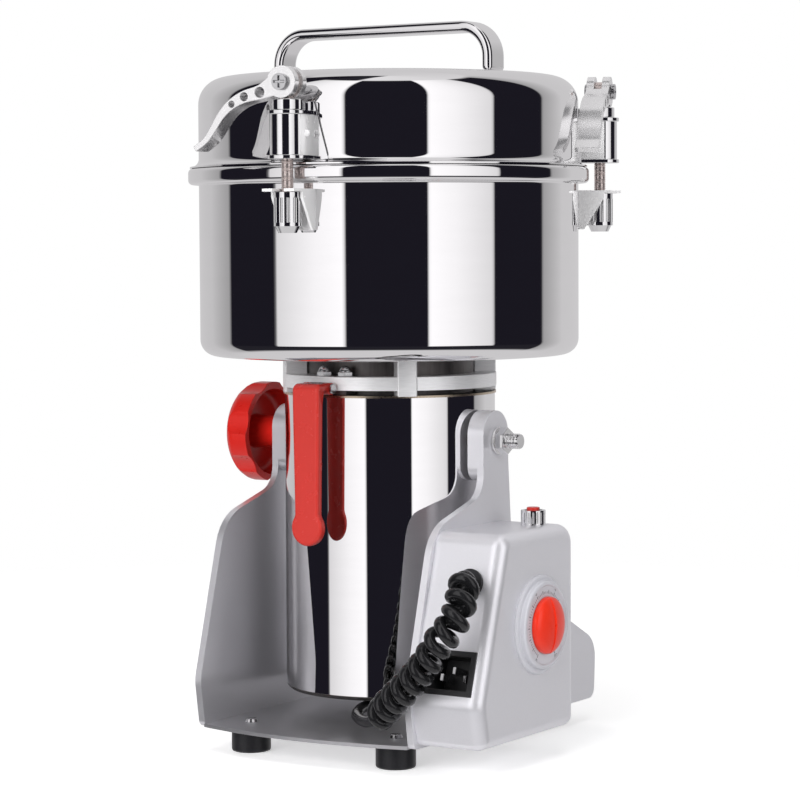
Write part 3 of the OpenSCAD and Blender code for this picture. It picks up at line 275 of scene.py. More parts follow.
# %% Floor
FLOOR_R, FADE_START, FLOOR_GLOW, FLOOR_GREY = 0.9, 0.35, 0.40, (0.9, 0.9, 0.9, 1)
floor_finish = bpy.data.materials.new("floor")
floor_finish.use_nodes = True
tree = floor_finish.node_tree
tree.nodes.clear()
matt = add_node(tree, "ShaderNodeBsdfDiffuse", Color=FLOOR_GREY)
camera_rays = add_node(tree, "ShaderNodeLightPath").outputs["Is Camera Ray"]
glow_level = math_node(tree, "MULTIPLY", camera_rays, FLOOR_GLOW)
glow = add_node(tree, "ShaderNodeEmission", Color=WHITE, Strength=glow_level)
both = add_node(tree, "ShaderNodeAddShader", i0=matt.outputs[0], i1=glow.outputs[0])
spot = add_node(tree, "ShaderNodeTexCoord").outputs["Object"]
distance = add_node(tree, "ShaderNodeVectorMath", {"operation": "LENGTH"}, i0=spot).outputs["Value"]
fade = add_node(tree, "ShaderNodeMapRange", {"interpolation_type": "SMOOTHSTEP"}, Value=distance,
                i1=FADE_START, i2=FLOOR_R)
clear = add_node(tree, "ShaderNodeBsdfTransparent")
faded = add_node(tree, "ShaderNodeMixShader", i0=fade.outputs[0], i1=both.outputs[0], i2=clear.outputs[0])
add_node(tree, "ShaderNodeOutputMaterial", Surface=faded.outputs[0])
floor_mesh = bpy.data.meshes.new("floor")
floor_mesh.from_pydata([(x, y, 0) for x, y in ((-1, -1), (1, -1), (1, 1), (-1, 1))], [], [(0, 1, 2, 3)])
floor_mesh.transform(Matrix.Scale(FLOOR_R, 4))
floor_mesh.materials.append(floor_finish)
floor = add_object("floor", floor_mesh)
floor.visible_glossy = False
floor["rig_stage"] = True
print("floor", FLOOR_R * 2, "m wide")

# %% [markdown]
# ## Finishes
# Each finish is one Principled shader with small variation from noise on Object coordinates: a little in
# the colour, a little in the gloss and, where it is wanted, a fine bump. Steel that was turned or rolled
# has noise that is stretched along one way, which reads as brush lines. Paint has fine flakes, and rubber
# has a grain.

# %% Finish maker
NOISE_LOW, NOISE_HIGH, NOISE_DETAIL, NOISE_ROUGHNESS, BUMP_STRENGTH = 0.3, 0.7, 4.0, 0.6, 0.5


def finish(name, colour, metallic=0.0, roughness=0.4, grain=600, stretch=(1, 1, 1), colour_shift=0.06,
           gloss_shift=0.06, bump=0.02):
    """A material whose grain, given per metre, shifts colour and gloss and raises a bump in millimetres."""
    made = bpy.data.materials.new(name)
    made.use_nodes = True
    nodes = made.node_tree
    shader = nodes.nodes["Principled BSDF"]
    shader.inputs["Metallic"].default_value = metallic
    place = add_node(nodes, "ShaderNodeTexCoord").outputs["Object"]
    mapped = add_node(nodes, "ShaderNodeMapping", Vector=place, Scale=stretch).outputs[0]
    noise = add_node(nodes, "ShaderNodeTexNoise", Vector=mapped, Scale=grain, Detail=NOISE_DETAIL,
                     Roughness=NOISE_ROUGHNESS)
    noise = noise.outputs["Fac"]
    dark = [max(c * (1 - colour_shift), 0) for c in colour]
    light = [min(c * (1 + colour_shift), 1) for c in colour]
    tint = ramp(nodes, noise, [(NOISE_LOW, dark), (NOISE_HIGH, light)])
    nodes.links.new(tint, shader.inputs["Base Color"])
    gloss = add_node(nodes, "ShaderNodeMapRange", Value=noise, i1=NOISE_LOW, i2=NOISE_HIGH,
                     i3=max(roughness - gloss_shift, 0.0), i4=roughness + gloss_shift)
    nodes.links.new(gloss.outputs[0], shader.inputs["Roughness"])
    if bump:
        raised = add_node(nodes, "ShaderNodeBump", Height=noise, Strength=BUMP_STRENGTH, Distance=bump * MM)
        nodes.links.new(raised.outputs[0], shader.inputs["Normal"])
    return made


print("noise used from", NOISE_LOW, "to", NOISE_HIGH)

# %% Finishes of the slots
PAINT = {"grain": 2600, "colour_shift": 0.03, "bump": 0.01}
SATIN = {"grain": 90, "colour_shift": 0.02, "gloss_shift": 0.03, "bump": 0}
MOULDED = {"grain": 160, "colour_shift": 0.012, "gloss_shift": 0.03, "bump": 0}
FINISHES = {
    "painted_silver": finish("painted_silver", (0.83, 0.825, 0.865), 0.6, 0.36, **PAINT),
    "black_rubber": finish("black_rubber", (0.014, 0.014, 0.016), 0, 0.42, 900, colour_shift=0.25,
                           bump=0.05),
    "white_silicone": finish("white_silicone", (0.8, 0.8, 0.78), 0, 0.6, 500),
    "zinc_steel": finish("zinc_steel", (0.66, 0.66, 0.67), 1, 0.22, 1500, colour_shift=0.1),
    "mirror_steel": finish("mirror_steel", (0.93, 0.925, 0.93), 1, 0.022, 25, (1, 1, 6), 0.01, 0.01, 0),
    "bright_steel": finish("bright_steel", (0.88, 0.88, 0.885), 1, 0.07, 60, colour_shift=0.03,
                           gloss_shift=0.03, bump=0),
    "rod_steel": finish("rod_steel", (0.80, 0.70, 0.67), 0.9, 0.30, 1200, colour_shift=0.1, bump=0.01),
    "cast_aluminium": finish("cast_aluminium", (0.14, 0.13, 0.128), 0.8, 0.40, 300, (1, 1, 0.1), 0.25,
                             0.08),
    "brushed_aluminium": finish("brushed_aluminium", (0.88, 0.88, 0.89), 0.45, 0.36, 500, (0.3, 0.3, 2.5),
                                0.05, 0.05, 0.004),
    "core_steel": finish("core_steel", (0.25, 0.26, 0.28), 1, 0.4, 300, (1, 1, 12), 0.2),
    "copper_wire": finish("copper_wire", (0.62, 0.28, 0.14), 1, 0.35, 700, (1, 1, 4), 0.2),
    "brass": finish("brass", (0.72, 0.52, 0.22), 1, 0.3, 600, colour_shift=0.1),
    "black_plastic": finish("black_plastic", (0.018, 0.018, 0.019), 0, 0.4, 1500, colour_shift=0.3,
                            bump=0.03),
    "dial_grey": finish("dial_grey", (0.53, 0.53, 0.57), 0, 0.36, 1800, colour_shift=0.03, bump=0.01),
    "red_plastic": finish("red_plastic", (0.48, 0.028, 0.021), 0, 0.26, **MOULDED),
    "orange_plastic": finish("orange_plastic", (0.74, 0.030, 0.010), 0, 0.30, **MOULDED),
}
print("finishes for slots", len(FINISHES))

# %% [markdown]
# Some pieces share a slot but look different: the base plate and the left side are a little darker, which
# is painted shade for the shade they lie in under the chamber and beside the motor, the star knob is a
# stronger red, and the clamps are paler and softer than other bright steel. They have a finish of their
# own, made by the same function.

# %% Finishes of single pieces
# Painted shade: the stand's silver paint, darker and more metallic, for the base plate that lies under the
# chamber.
plate_painted_shade = finish("plate_painted_shade", (0.64, 0.635, 0.66), 0.85, 0.34, **PAINT)
# Painted shade: the stand's silver paint, a little darker, for the left side that lies beside the motor.
side_painted_shade = finish("side_painted_shade", (0.78, 0.775, 0.81), 0.8, 0.34, **PAINT)
knob_red = finish("knob_red", (0.56, 0.014, 0.009), 0, 0.3, **MOULDED)
dial_ink = finish("dial_ink", (0.05, 0.05, 0.055), 0, 0.6, 800, colour_shift=0.2)
satin_steel = finish("satin_steel", (0.90, 0.895, 0.90), 0.8, 0.22, **SATIN)
pale_satin = finish("pale_satin", (0.95, 0.945, 0.95), 0.25, 0.25, **SATIN)
pale_bronze = finish("pale_bronze", (0.62, 0.52, 0.40), 1, 0.3, 900, colour_shift=0.08)
cord_black = finish("cord_black", (0.010, 0.010, 0.011), 0, 0.17, 300, colour_shift=0.2, gloss_shift=0.03,
                    bump=0.006)
print("last finish made", cord_black.name)

# %% [markdown]
# ## Curly cord
# A black curly cord runs from the gland on the control box, hangs in front of it and goes in under the
# motor. Its route is the one that the CAD solid follows.

# %% Points of the cord's route
CORD_D, CURL_OUTER_D = 6.2, 18
CURL_R = (CURL_OUTER_D - CORD_D) / 2
GLAND_X, GLAND_ALONG, GLAND_LEN, GLAND_LEAD = 96, 72, 4, 3
CHIN = Vector((-93, 34))
SHOULDER = Vector((-63.5, 128.5))
face_along = (SHOULDER - CHIN).normalized()
face_out = Vector((0, -face_along[1], face_along[0]))
gland_foot = Vector((GLAND_X, *(CHIN + face_along * GLAND_ALONG)))
cord_start = gland_foot + face_out * GLAND_LEN
cord_lead = cord_start + face_out * GLAND_LEAD
curl_points = [Vector(p) for p in (
    (104.3, -92, 105.6), (108.6, -102, 97.3), (108.2, -106, 90), (104.6, -108, 82.9), (98.9, -108, 76.4),
    (93.3, -108, 67.6), (87.6, -107, 61.1), (80.5, -106, 54.2), (74.2, -105, 48.1), (67.2, -103, 42.9),
    (60.2, -100, 36.3), (51, -95, 29.3)
)]
tail_points = [Vector(p) for p in ((40, -87, 26.5), (30, -78, 25.5), (21, -68, 26), (16, -55, 27))]
cord_end = Vector((14, -36, 27.1))
print("cord from", [round(v, 1) for v in cord_start], "to", [round(v, 1) for v in cord_end])

# %% [markdown]
# The points are only a few places on the route, so a smooth line is laid through them, and its length is
# measured step by step. That makes it possible to go along the line by length, with a circle round it for
# the curls.

# %% Smooth line through points
CURL_LINE_STEPS, TAIL_STEPS = 8, 6


def smooth_line(points, steps):
    """A Catmull-Rom line through points."""
    line = []
    for i in range(len(points) - 1):
        a, b = points[max(i - 1, 0)], points[i]
        c, d = points[i + 1], points[min(i + 2, len(points) - 1)]
        for k in range(steps):
            t = k / steps
            line.append(0.5 * (2 * b + (c - a) * t + (2 * a - 5 * b + 4 * c - d) * t * t
                               + (3 * b - a - 3 * c + d) * t ** 3))
    return line + [points[-1]]


def lengths_along(line):
    """The length of a line up to each of its points."""
    steps = [0.0] + [(b - a).length for a, b in zip(line, line[1:])]
    return np.cumsum(steps)


def place_at(line, lengths, s):
    """The place on a line at a length."""
    i = int(np.clip(np.searchsorted(lengths, s) - 1, 0, len(line) - 2))
    return line[i] + (line[i + 1] - line[i]) * ((s - lengths[i]) / (lengths[i + 1] - lengths[i]))


curl_line = smooth_line([cord_lead] + curl_points, CURL_LINE_STEPS)
curl_lengths = lengths_along(curl_line)
curl_run = curl_lengths[-1]
print("the curls hang along", round(float(curl_run), 1), "mm")

# %% Curls along the line
CURLS, GROWING_CURLS, RINGS_PER_CURL = 14, 2, 20
CURL_CROWDING = 0.12
LOOK_AHEAD = 2
side = Vector((0.8, 0.6, 0)).normalized()
curl_path = []
for i in range(CURLS * RINGS_PER_CURL + 1):
    u = i / (CURLS * RINGS_PER_CURL)
    s = curl_run * (u + CURL_CROWDING * u * (1 - u))
    size = CURL_R * min(1, u * CURLS / GROWING_CURLS, (1 - u) * CURLS)
    heading = (place_at(curl_line, curl_lengths, min(s + LOOK_AHEAD, curl_run))
               - place_at(curl_line, curl_lengths, max(s - LOOK_AHEAD, 0))).normalized()
    first = heading.cross(side).normalized()
    second = heading.cross(first)
    angle = 2 * math.pi * CURLS * u
    round_axis = first * math.cos(angle) - second * math.sin(angle)
    curl_path.append(place_at(curl_line, curl_lengths, s) + size * round_axis)
tail_last = cord_end - Vector((0, CORD_D, 0))
tail_path = smooth_line([curl_points[-1]] + tail_points + [tail_last], TAIL_STEPS)[1:]
cord_path = [at(*p) for p in [cord_start] + curl_path + tail_path + [cord_end]]

# %% [markdown]
# The tube is a ring of points that is carried along the route without twist and joined by four-sided
# faces. A curve's bevel would give the same shape, but a mesh can be stretched smoothly between two
# bodies.

# %% Tube along the route
def mesh_from(bm, name):
    """A mesh made from a BMesh, which is freed."""
    mesh = bpy.data.meshes.new(name)
    bm.to_mesh(mesh)
    bm.free()
    return mesh


def tube_mesh(name, path, radius, sides):
    """A closed round tube along a path, without twist."""
    bm = bmesh.new()
    across = Vector((1, 0, 0))
    rings = []
    for i, point in enumerate(path):
        heading = (path[min(i + 1, len(path) - 1)] - path[max(i - 1, 0)]).normalized()
        across = (across - heading * across.dot(heading)).normalized()
        other = heading.cross(across)
        rings.append([
            bm.verts.new(point + radius * (across * math.cos(a) + other * math.sin(a)))
            for a in (2 * math.pi * k / sides for k in range(sides))
        ])
    for one, two in zip(rings, rings[1:]):
        for k in range(sides):
            bm.faces.new((one[k], one[(k + 1) % sides], two[(k + 1) % sides], two[k]))
    bm.faces.new(rings[0][::-1])
    bm.faces.new(rings[-1])
    bmesh.ops.recalc_face_normals(bm, faces=bm.faces)
    return mesh_from(bm, name)


CORD_SIDES = 14
cord_mesh = tube_mesh("curly_cord", cord_path, CORD_D / 2 * MM, CORD_SIDES)
cord_mesh.polygons.foreach_set("use_smooth", [True] * len(cord_mesh.polygons))
cord_mesh.materials.append(cord_black)
curly_cord = add_object("curly_cord", cord_mesh)
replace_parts(curly_cord, "coil_cord")
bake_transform(curly_cord)
print("cord faces", len(cord_mesh.polygons))

# %% [markdown]
# ## Turned pieces
# Chamber, lid, motor tube and dial plate are round. `turned_mesh` spins a profile about an upright axis,
# as a lathe would, and gives the clean normals that a mirror needs. A Screw modifier could spin an edge
# too, but a list of points is easier to name and to measure. `put` shades a finished mesh, ties it to its
# body and says which CAD node it stands for.

# %% Shade and declare a piece
SMOOTH_ANGLE = 32


def shade(mesh, angle):
    """Smooth shading, with edges kept sharp above an angle in degrees."""
    mesh.polygons.foreach_set("use_smooth", [True] * len(mesh.polygons))
    mesh.set_sharp_from_angle(angle=math.radians(angle))


def put(name, mesh, nodes=(), body=None, slot=None, material=None, angle=SMOOTH_ANGLE):
    first = nodes[0] if nodes else None
    body = body or body_of[first]
    slot = slot or slot_of[first]
    if angle:
        shade(mesh, angle)
    mesh.materials.clear()
    mesh.materials.append(material or FINISHES[slot])
    piece = add_object(name, mesh)
    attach(piece, body)
    if nodes:
        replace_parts(piece, *nodes)
    return piece


print("smooth below", SMOOTH_ANGLE, "degrees")

# %% Spin a profile
ON_AXIS = 1e-6


def arc(centre, radius, start, end, steps):
    """Points on an arc, in degrees, for a profile."""
    angles = [math.radians(start + (end - start) * i / steps) for i in range(steps + 1)]
    return [(centre[0] + radius * math.cos(a), centre[1] + radius * math.sin(a)) for a in angles]


def turned_mesh(name, profile, segments):
    """Spins a closed profile of (radius, height) points in millimetres about the motor's axis."""
    bm = bmesh.new()
    rings = []
    for radius, z in profile:
        if radius < ON_AXIS:
            rings.append([bm.verts.new(at(0, 0, z))])
            continue
        rings.append([
            bm.verts.new(at(math.cos(a) * radius, math.sin(a) * radius, z))
            for a in (2 * math.pi * i / segments for i in range(segments))
        ])
    closed = len(rings[0]) > 1
    pairs = list(zip(rings, rings[1:] + rings[:1])) if closed else list(zip(rings, rings[1:]))
    for one, two in pairs:
        for i in range(segments):
            k = (i + 1) % segments
            corners = [one[i % len(one)], one[k % len(one)], two[k % len(two)], two[i % len(two)]]
            bm.faces.new(list(dict.fromkeys(corners)))
    bmesh.ops.recalc_face_normals(bm, faces=bm.faces)
    return mesh_from(bm, name)


print("a quarter arc has", len(arc((0, 0), 1, 0, 90, 8)), "points in 8 steps")

# %% [markdown]
# ## Chamber and lid
# Both are drawn from polished sheet. The chamber has a rolled rim, and the lid a lip that flares out over
# it. A spun profile with many points in its bends gives the reflections their smooth run round the
# corners.

# %% Chamber
MIRROR_ANGLE, MIRROR_SIDES = 40, 256
BOWL_R, BOWL_Z, RIM_Z, SHEET = 107.0, 220.0, 325.0, 1.5
RIM_R, RIM_DROP = 113.0, 9.0
HUB_R, NECK_ROUND, RIM_ROUND, BOTTOM_BEND = 15.0, 1, 2.5, 9.0
bowl_in = BOWL_R - SHEET
rim_low = RIM_Z - RIM_DROP
chamber_profile = (
    [(HUB_R, BOWL_Z), (BOWL_R / 2, BOWL_Z)]
    + arc((BOWL_R - BOTTOM_BEND, BOWL_Z + BOTTOM_BEND), BOTTOM_BEND, -90, 0, 12)
    + [(BOWL_R, rim_low - NECK_ROUND)]
    + arc((BOWL_R + NECK_ROUND, rim_low - NECK_ROUND), NECK_ROUND, 180, 90, 4)
    + arc((RIM_R - RIM_ROUND, rim_low + RIM_ROUND), RIM_ROUND, -90, 0, 6)
    + arc((RIM_R - RIM_ROUND, RIM_Z - RIM_ROUND), RIM_ROUND, 0, 90, 6)
    + [(bowl_in, RIM_Z)]
    + arc((bowl_in - BOTTOM_BEND, BOWL_Z + SHEET + BOTTOM_BEND), BOTTOM_BEND, 0, -90, 12)
    + [(HUB_R, BOWL_Z + SHEET)]
)
chamber = put("chamber_bowl", turned_mesh("chamber_bowl", chamber_profile, MIRROR_SIDES),
              ["chamber"], angle=MIRROR_ANGLE)
print("chamber profile", len(chamber_profile), "points")

# %% [markdown]
# The lid is one drawn shell: a slightly crowned top, a large bend, a straight wall and the lip. The CAD
# model has it as cover and wall. One turned piece replaces both, so no joint shows in its reflections.

# %% Lid
LID_Z, LID_BEND, LID_CROWN, CROWN_STEPS = 375.7, 15.0, 3.5, 16
LIP_R, LIP_T, LIP_FLAT, LIP_FOOT, LID_GAP = 112.0, 0.9, 0.5, 1, 0.05
reach = BOWL_R - LID_BEND
shares = [1 - i / CROWN_STEPS for i in range(1, CROWN_STEPS + 1)]
crown = [(reach * share, LID_Z + LID_CROWN * (1 - share ** 2)) for share in shares]
inner_crown = [(r, z - SHEET) for r, z in crown]
lip_bend = LIP_R - BOWL_R - LIP_FLAT
lid_profile = (
    crown[::-1]
    + arc((reach, LID_Z - LID_BEND), LID_BEND, 90, 0, 14)
    + arc((BOWL_R + lip_bend, RIM_Z + LIP_FOOT + lip_bend), lip_bend, 180, 270, 8)
    + [(LIP_R, RIM_Z + LIP_T), (LIP_R, RIM_Z + LID_GAP), (bowl_in, RIM_Z + LID_GAP)]
    + arc((reach, LID_Z - LID_BEND), LID_BEND - SHEET, 0, 90, 14)
    + inner_crown
)
lid = put("lid_shell", turned_mesh("lid_shell", lid_profile, MIRROR_SIDES),
          ["lid", "lid_wall"], angle=MIRROR_ANGLE)
print("chamber and lid faces", len(chamber.data.polygons), len(lid.data.polygons))

# %% [markdown]
# ## Motor tube and neck
# The motor sits in a plain polished tube. Over it a turned ring and four posts carry the chamber, round a
# dark hub. A thin pale seam closes the tube's top. The tube could keep its CAD mesh, but a profile that
# is spun in many steps keeps its long reflections straight.

# %% Motor tube
TUBE_R, TUBE_IN, TUBE_LOW, TUBE_TOP, TUBE_EDGE = 59.6, 58.1, 33.1, 198.9, 0.4
SEAM_IN, SEAM_OUT, SEAM_HALF, SEAM_SIDES = TUBE_R - 0.3, TUBE_R + 0.7, 0.6, 192
tube_profile = [
    (TUBE_IN, TUBE_LOW), (TUBE_R - TUBE_EDGE, TUBE_LOW), (TUBE_R, TUBE_LOW + TUBE_EDGE),
    (TUBE_R, TUBE_TOP - TUBE_EDGE), (TUBE_R - TUBE_EDGE, TUBE_TOP), (TUBE_IN, TUBE_TOP)
]
put("motor_tube", turned_mesh("motor_tube", tube_profile, MIRROR_SIDES), ["motor_shell"])
seam_profile = [
    (SEAM_IN, TUBE_TOP - SEAM_HALF), (SEAM_OUT, TUBE_TOP - SEAM_HALF),
    (SEAM_OUT, TUBE_TOP + SEAM_HALF), (SEAM_IN, TUBE_TOP + SEAM_HALF)
]
put("tube_seam", turned_mesh("tube_seam", seam_profile, SEAM_SIDES), body="head",
    slot="brushed_aluminium", material=pale_bronze)
print("tube radius", TUBE_R, "mm, seam", round(SEAM_OUT, 1), "mm")

# %% [markdown]
# ## Control box
# The box is a cast shell with a sloping front and a soft edge all round its outer side. It could be a
# bevelled block, but a bevel on a slanted block makes uneven corners. So its side outline is drawn once
# with rounded corners, and the soft edge is the same outline moved inwards step by step along a quarter
# circle. One face is left out, as the mouth for the mains inlet.

# %% Outline of the box
BOX_IN, BOX_OUT, BOX_EDGE, BOX_LOW, BOX_TOP, BOX_REAR = 71.0, 112.8, 7.0, 16.0, 128.5, 13.0
CHIN_RISE, CHIN_DEPTH, CORNER_STEPS, EDGE_STEPS = 7, 8, 8, 8
INLET_ALONG, INLET_X, MOUTH_HALF_ALONG, MOUTH_HALF_X = 24, 92, 10.5, 13
box_corners = [
    (BOX_REAR, BOX_LOW, 6), (BOX_REAR, BOX_TOP, 11), (*SHOULDER, 9), (*(CHIN + face_along * CHIN_RISE), 12),
    (CHIN[0] + CHIN_DEPTH, BOX_LOW, 5)
]
CHIN_INDEX, LEAST_ROUND = 3, 1


def corner_ways(corners, i):
    """A corner of an outline and the ways to its two neighbours."""
    here = Vector(corners[i][:2])
    before = (Vector(corners[i - 1][:2]) - here).normalized()
    after = (Vector(corners[(i + 1) % len(corners)][:2]) - here).normalized()
    return here, before, after


def moved_in(corners, distance):
    """Corners (y, z, radius) of an outline moved inwards, each radius less by the same."""
    made = []
    for i, corner in enumerate(corners):
        here, before, after = corner_ways(corners, i)
        sine = abs(before.cross(after))
        made.append((*(here + (before + after) * distance / sine), max(corner[2] - distance, LEAST_ROUND)))
    return made


def rounded_outline(corners):
    """Points of an outline with its corners rounded by arcs."""
    points = []
    for i, corner in enumerate(corners):
        here, before, after = corner_ways(corners, i)
        radius = corner[2]
        half = before.angle(after) / 2
        middle = here + (before + after).normalized() * radius / math.sin(half)
        start = here + before * radius / math.tan(half) - middle
        sweep = start.angle_signed(here + after * radius / math.tan(half) - middle)
        for k in range(CORNER_STEPS + 1):
            points.append(middle + Matrix.Rotation(-sweep * k / CORNER_STEPS, 2) @ start)
    return points


print("outline of the box", len(rounded_outline(box_corners)), "points")

# %% [markdown]
# The outlines are joined by four-sided faces. Smooth shading would bend the look of the large flat faces
# beside the soft edge. `flat_normals` prevents that with a Weighted Normal modifier, and it can round
# edges with a Bevel modifier first, which the sheet and cast pieces need later.

# %% Flat faces beside rounded edges
EDGE_ANGLE = math.radians(38)


def plain_mesh(piece, name):
    """The evaluated object as a plain mesh, with its modifiers used up and the object removed."""
    bpy.context.view_layer.update()
    graph = bpy.context.evaluated_depsgraph_get()
    mesh = bpy.data.meshes.new_from_object(piece.evaluated_get(graph))
    mesh.name = name
    old = piece.data
    bpy.data.objects.remove(piece)
    if old.users == 0 and isinstance(old, bpy.types.Mesh):
        bpy.data.meshes.remove(old)
    return mesh


def flat_normals(mesh, name, angle, width=0.0, segments=2):
    """A mesh with its edges rounded by a width in millimetres, and large faces that look flat."""
    shade(mesh, angle)
    copy = add_object(name + "_copy", mesh)
    if width:
        bevel = copy.modifiers.new("rounded edges", "BEVEL")
        bevel.width = width * MM
        bevel.segments = segments
        bevel.limit_method = "ANGLE"
        bevel.angle_limit = EDGE_ANGLE
        bevel.use_clamp_overlap = True
    weighted = copy.modifiers.new("flat faces stay flat", "WEIGHTED_NORMAL")
    weighted.keep_sharp = True
    return plain_mesh(copy, name)


print("edges above", round(math.degrees(EDGE_ANGLE)), "degrees can be rounded")

# %% Shell of the box
mouth_at = CHIN_INDEX * (CORNER_STEPS + 1)


def box_loop(x, inset):
    """One outline of the box at a place along X, with two more points beside the inlet's mouth."""
    points = rounded_outline(moved_in(box_corners, inset) if inset else box_corners)
    inwards = face_out.yz * inset
    upper = CHIN + face_along * (INLET_ALONG + MOUTH_HALF_ALONG) - inwards
    lower = CHIN + face_along * (INLET_ALONG - MOUTH_HALF_ALONG) - inwards
    points = points[:mouth_at] + [upper, lower] + points[mouth_at:]
    return [at(x, y, z) for y, z in points]


box_loops = [box_loop(x, 0) for x in (BOX_IN, INLET_X - MOUTH_HALF_X, INLET_X + MOUTH_HALF_X)]
for k in range(EDGE_STEPS + 1):
    bend = math.pi / 2 * k / EDGE_STEPS
    box_loops.append(box_loop(BOX_OUT - BOX_EDGE * (1 - math.sin(bend)), BOX_EDGE * (1 - math.cos(bend))))
bm = bmesh.new()
rings = [[bm.verts.new(point) for point in loop] for loop in box_loops]
mouth_row = 1
for row, (one, two) in enumerate(zip(rings, rings[1:])):
    for i in range(len(one)):
        k = (i + 1) % len(one)
        if (row, i) != (mouth_row, mouth_at):
            bm.faces.new((one[i], one[k], two[k], two[i]))
bm.faces.new(rings[-1])
bm.faces.new(rings[0][::-1])
bmesh.ops.recalc_face_normals(bm, faces=bm.faces)
BOX_ANGLE = 50
box_mesh = flat_normals(mesh_from(bm, "box_loops"), "control_box_shell", BOX_ANGLE)
put("control_box_shell", box_mesh, ["control_box"], angle=None)
print("box loops", len(box_loops), "of", len(box_loops[0]), "points")

# %% [markdown]
# The dial plate is turned: a thin flange, a raised ring and a face that lies a little lower. Like the
# chamber it is spun from a profile, and then laid on the box's side.

# %% Dial plate
DIAL_Y, DIAL_Z, DIAL_R, DIAL_H, DIAL_SINK, DIAL_BORE = -27.5, 77.0, 27.0, 5.0, 0.8, 4
RING_R, RING_IN, FACE_R, FLANGE_H = 24.0, 21.8, 21.0, 2.0
FLANGE_ROUND, FOOT_ROUND, RING_ROUND, DIAL_SIDES = 1.6, 0.6, 1.2, 128
face_x = DIAL_H - DIAL_SINK
dial_profile = (
    [(DIAL_BORE, 0), (DIAL_R, 0)]
    + arc((DIAL_R - FLANGE_ROUND, FLANGE_H - FLANGE_ROUND), FLANGE_ROUND, 0, 90, 5)
    + arc((RING_R + FOOT_ROUND, FLANGE_H + FOOT_ROUND), FOOT_ROUND, 270, 180, 3)
    + arc((RING_R - RING_ROUND, DIAL_H - RING_ROUND), RING_ROUND, 0, 90, 5)
    + [(RING_IN, DIAL_H), (FACE_R, face_x), (DIAL_BORE, face_x)]
)
quarter_turn = Matrix.Rotation(math.pi / 2, 4, "Y")
dial_mesh = turned_mesh("dial_ring", dial_profile, DIAL_SIDES)
dial_middle = Matrix.Translation(at(BOX_OUT, DIAL_Y, DIAL_Z))
dial_mesh.transform(dial_middle @ quarter_turn @ Matrix.Translation(-AXIS))
put("dial_ring", dial_mesh, ["dial_plate"], angle=MIRROR_ANGLE)
print("dial profile", len(dial_profile), "points")

# %% [markdown]
# ## All other CAD pieces
# Plates, castings, brackets, levers and knobs have their right shape already. `dressed` copies a CAD
# node, welds its loose triangles and rounds its edges with a Bevel modifier, because real sheet and
# castings never have a sharp edge and the thin highlight shows it. `soften_strip` gives a moulded strip a
# wider rounding than the modifier allows beside small holes.

# %% Round the edges of a CAD piece
WELD, SMALL_STEP, FLAT, STRIP_SEGMENTS = 2e-6, 0.1 * MM, math.radians(0.6), 5


def welded_mesh(node):
    """A copy of a CAD node's mesh with its triangles welded and its flat faces joined."""
    bm = bmesh.new()
    bm.from_mesh(frame["nodes"][node].data)
    bmesh.ops.remove_doubles(bm, verts=bm.verts, dist=WELD)
    bmesh.ops.dissolve_limit(bm, angle_limit=FLAT, verts=bm.verts, edges=bm.edges)
    return mesh_from(bm, node + "_welded")


def soften_strip(mesh, width):
    """Rounds the outer edges of a strip that bends down in front, by a width in millimetres."""
    bm = bmesh.new()
    bm.from_mesh(mesh)
    bmesh.ops.remove_doubles(bm, verts=bm.verts, dist=SMALL_STEP)
    front = min(vert.co.y for vert in bm.verts)
    top = max(vert.co.z for vert in bm.verts)
    low, tab_top = top - 9 * MM, top - 0.45 * MM
    bend_end, tab_end = front + 4.1 * MM, front + 12 * MM
    outer = {
        vert for vert in bm.verts
        if vert.co.z < low or vert.co.y < bend_end or (vert.co.y < tab_end and vert.co.z > tab_top)
    }
    sharp = [
        edge for edge in bm.edges
        if edge.is_manifold and edge.calc_face_angle() > EDGE_ANGLE and outer.issuperset(edge.verts)
    ]
    bmesh.ops.bevel(bm, geom=sharp, offset=width * MM, segments=STRIP_SEGMENTS, profile=0.5, affect="EDGES",
                    clamp_overlap=False)
    bm.to_mesh(mesh)
    bm.free()


def dressed(node, width, segments, material, strip_width):
    """A CAD node with its edges rounded by a width in millimetres, and more on a moulded strip."""
    mesh = welded_mesh(node)
    if strip_width:
        soften_strip(mesh, strip_width)
    mesh = flat_normals(mesh, node + "_mesh", SMOOTH_ANGLE, width, segments)
    return put(node + "_piece", mesh, [node], material=material, angle=None)


print("points are welded within", WELD, "m")

# %% [markdown]
# Each piece gets its finish and broken edges, wider on moulded plastic and on castings than on thin
# sheet. Pieces inside the motor, the box and the closed chamber never show, so they keep their CAD mesh
# and only get their finish.

# %% Edges and finishes of single pieces
INSIDE = [
    "stator_core", "stator_windings", "bearings", "brush_holders", "rotor_core", "commutator",
    "cooling_fan", "timer_body", "breaker_body", "head_plate", "rotor_shaft", "blade_spacers", "blade_nut",
    "blades", "shaft_seal", "lid_seal"
]
CAM_LEVERS = ["lever_front", "lever_right", "lever_left"]
EDGE_WIDTH = {
    "base_plate": 1.2, "left_side_plate": 0.9, "right_side_plate": 0.9, "feet": 1.2, "timer_knob": 0.5,
    "star_knob": 1.6, "release_lever": 0.6, "lid_handle": 2.4, "lid_saddles": 0.35, "clamp_brackets": 0.35,
    "flange_ring": 0.5, "standoff_posts": 0.6, "reset_button": 0.5, "cam_bushes": 0.5, "pivot_nut": 0.4,
    **{node: 0.9 for node in CAM_LEVERS}
}
OTHER_WIDTH, EDGE_SEGMENTS, SOFT_SEGMENTS = 0.25, 2, 4
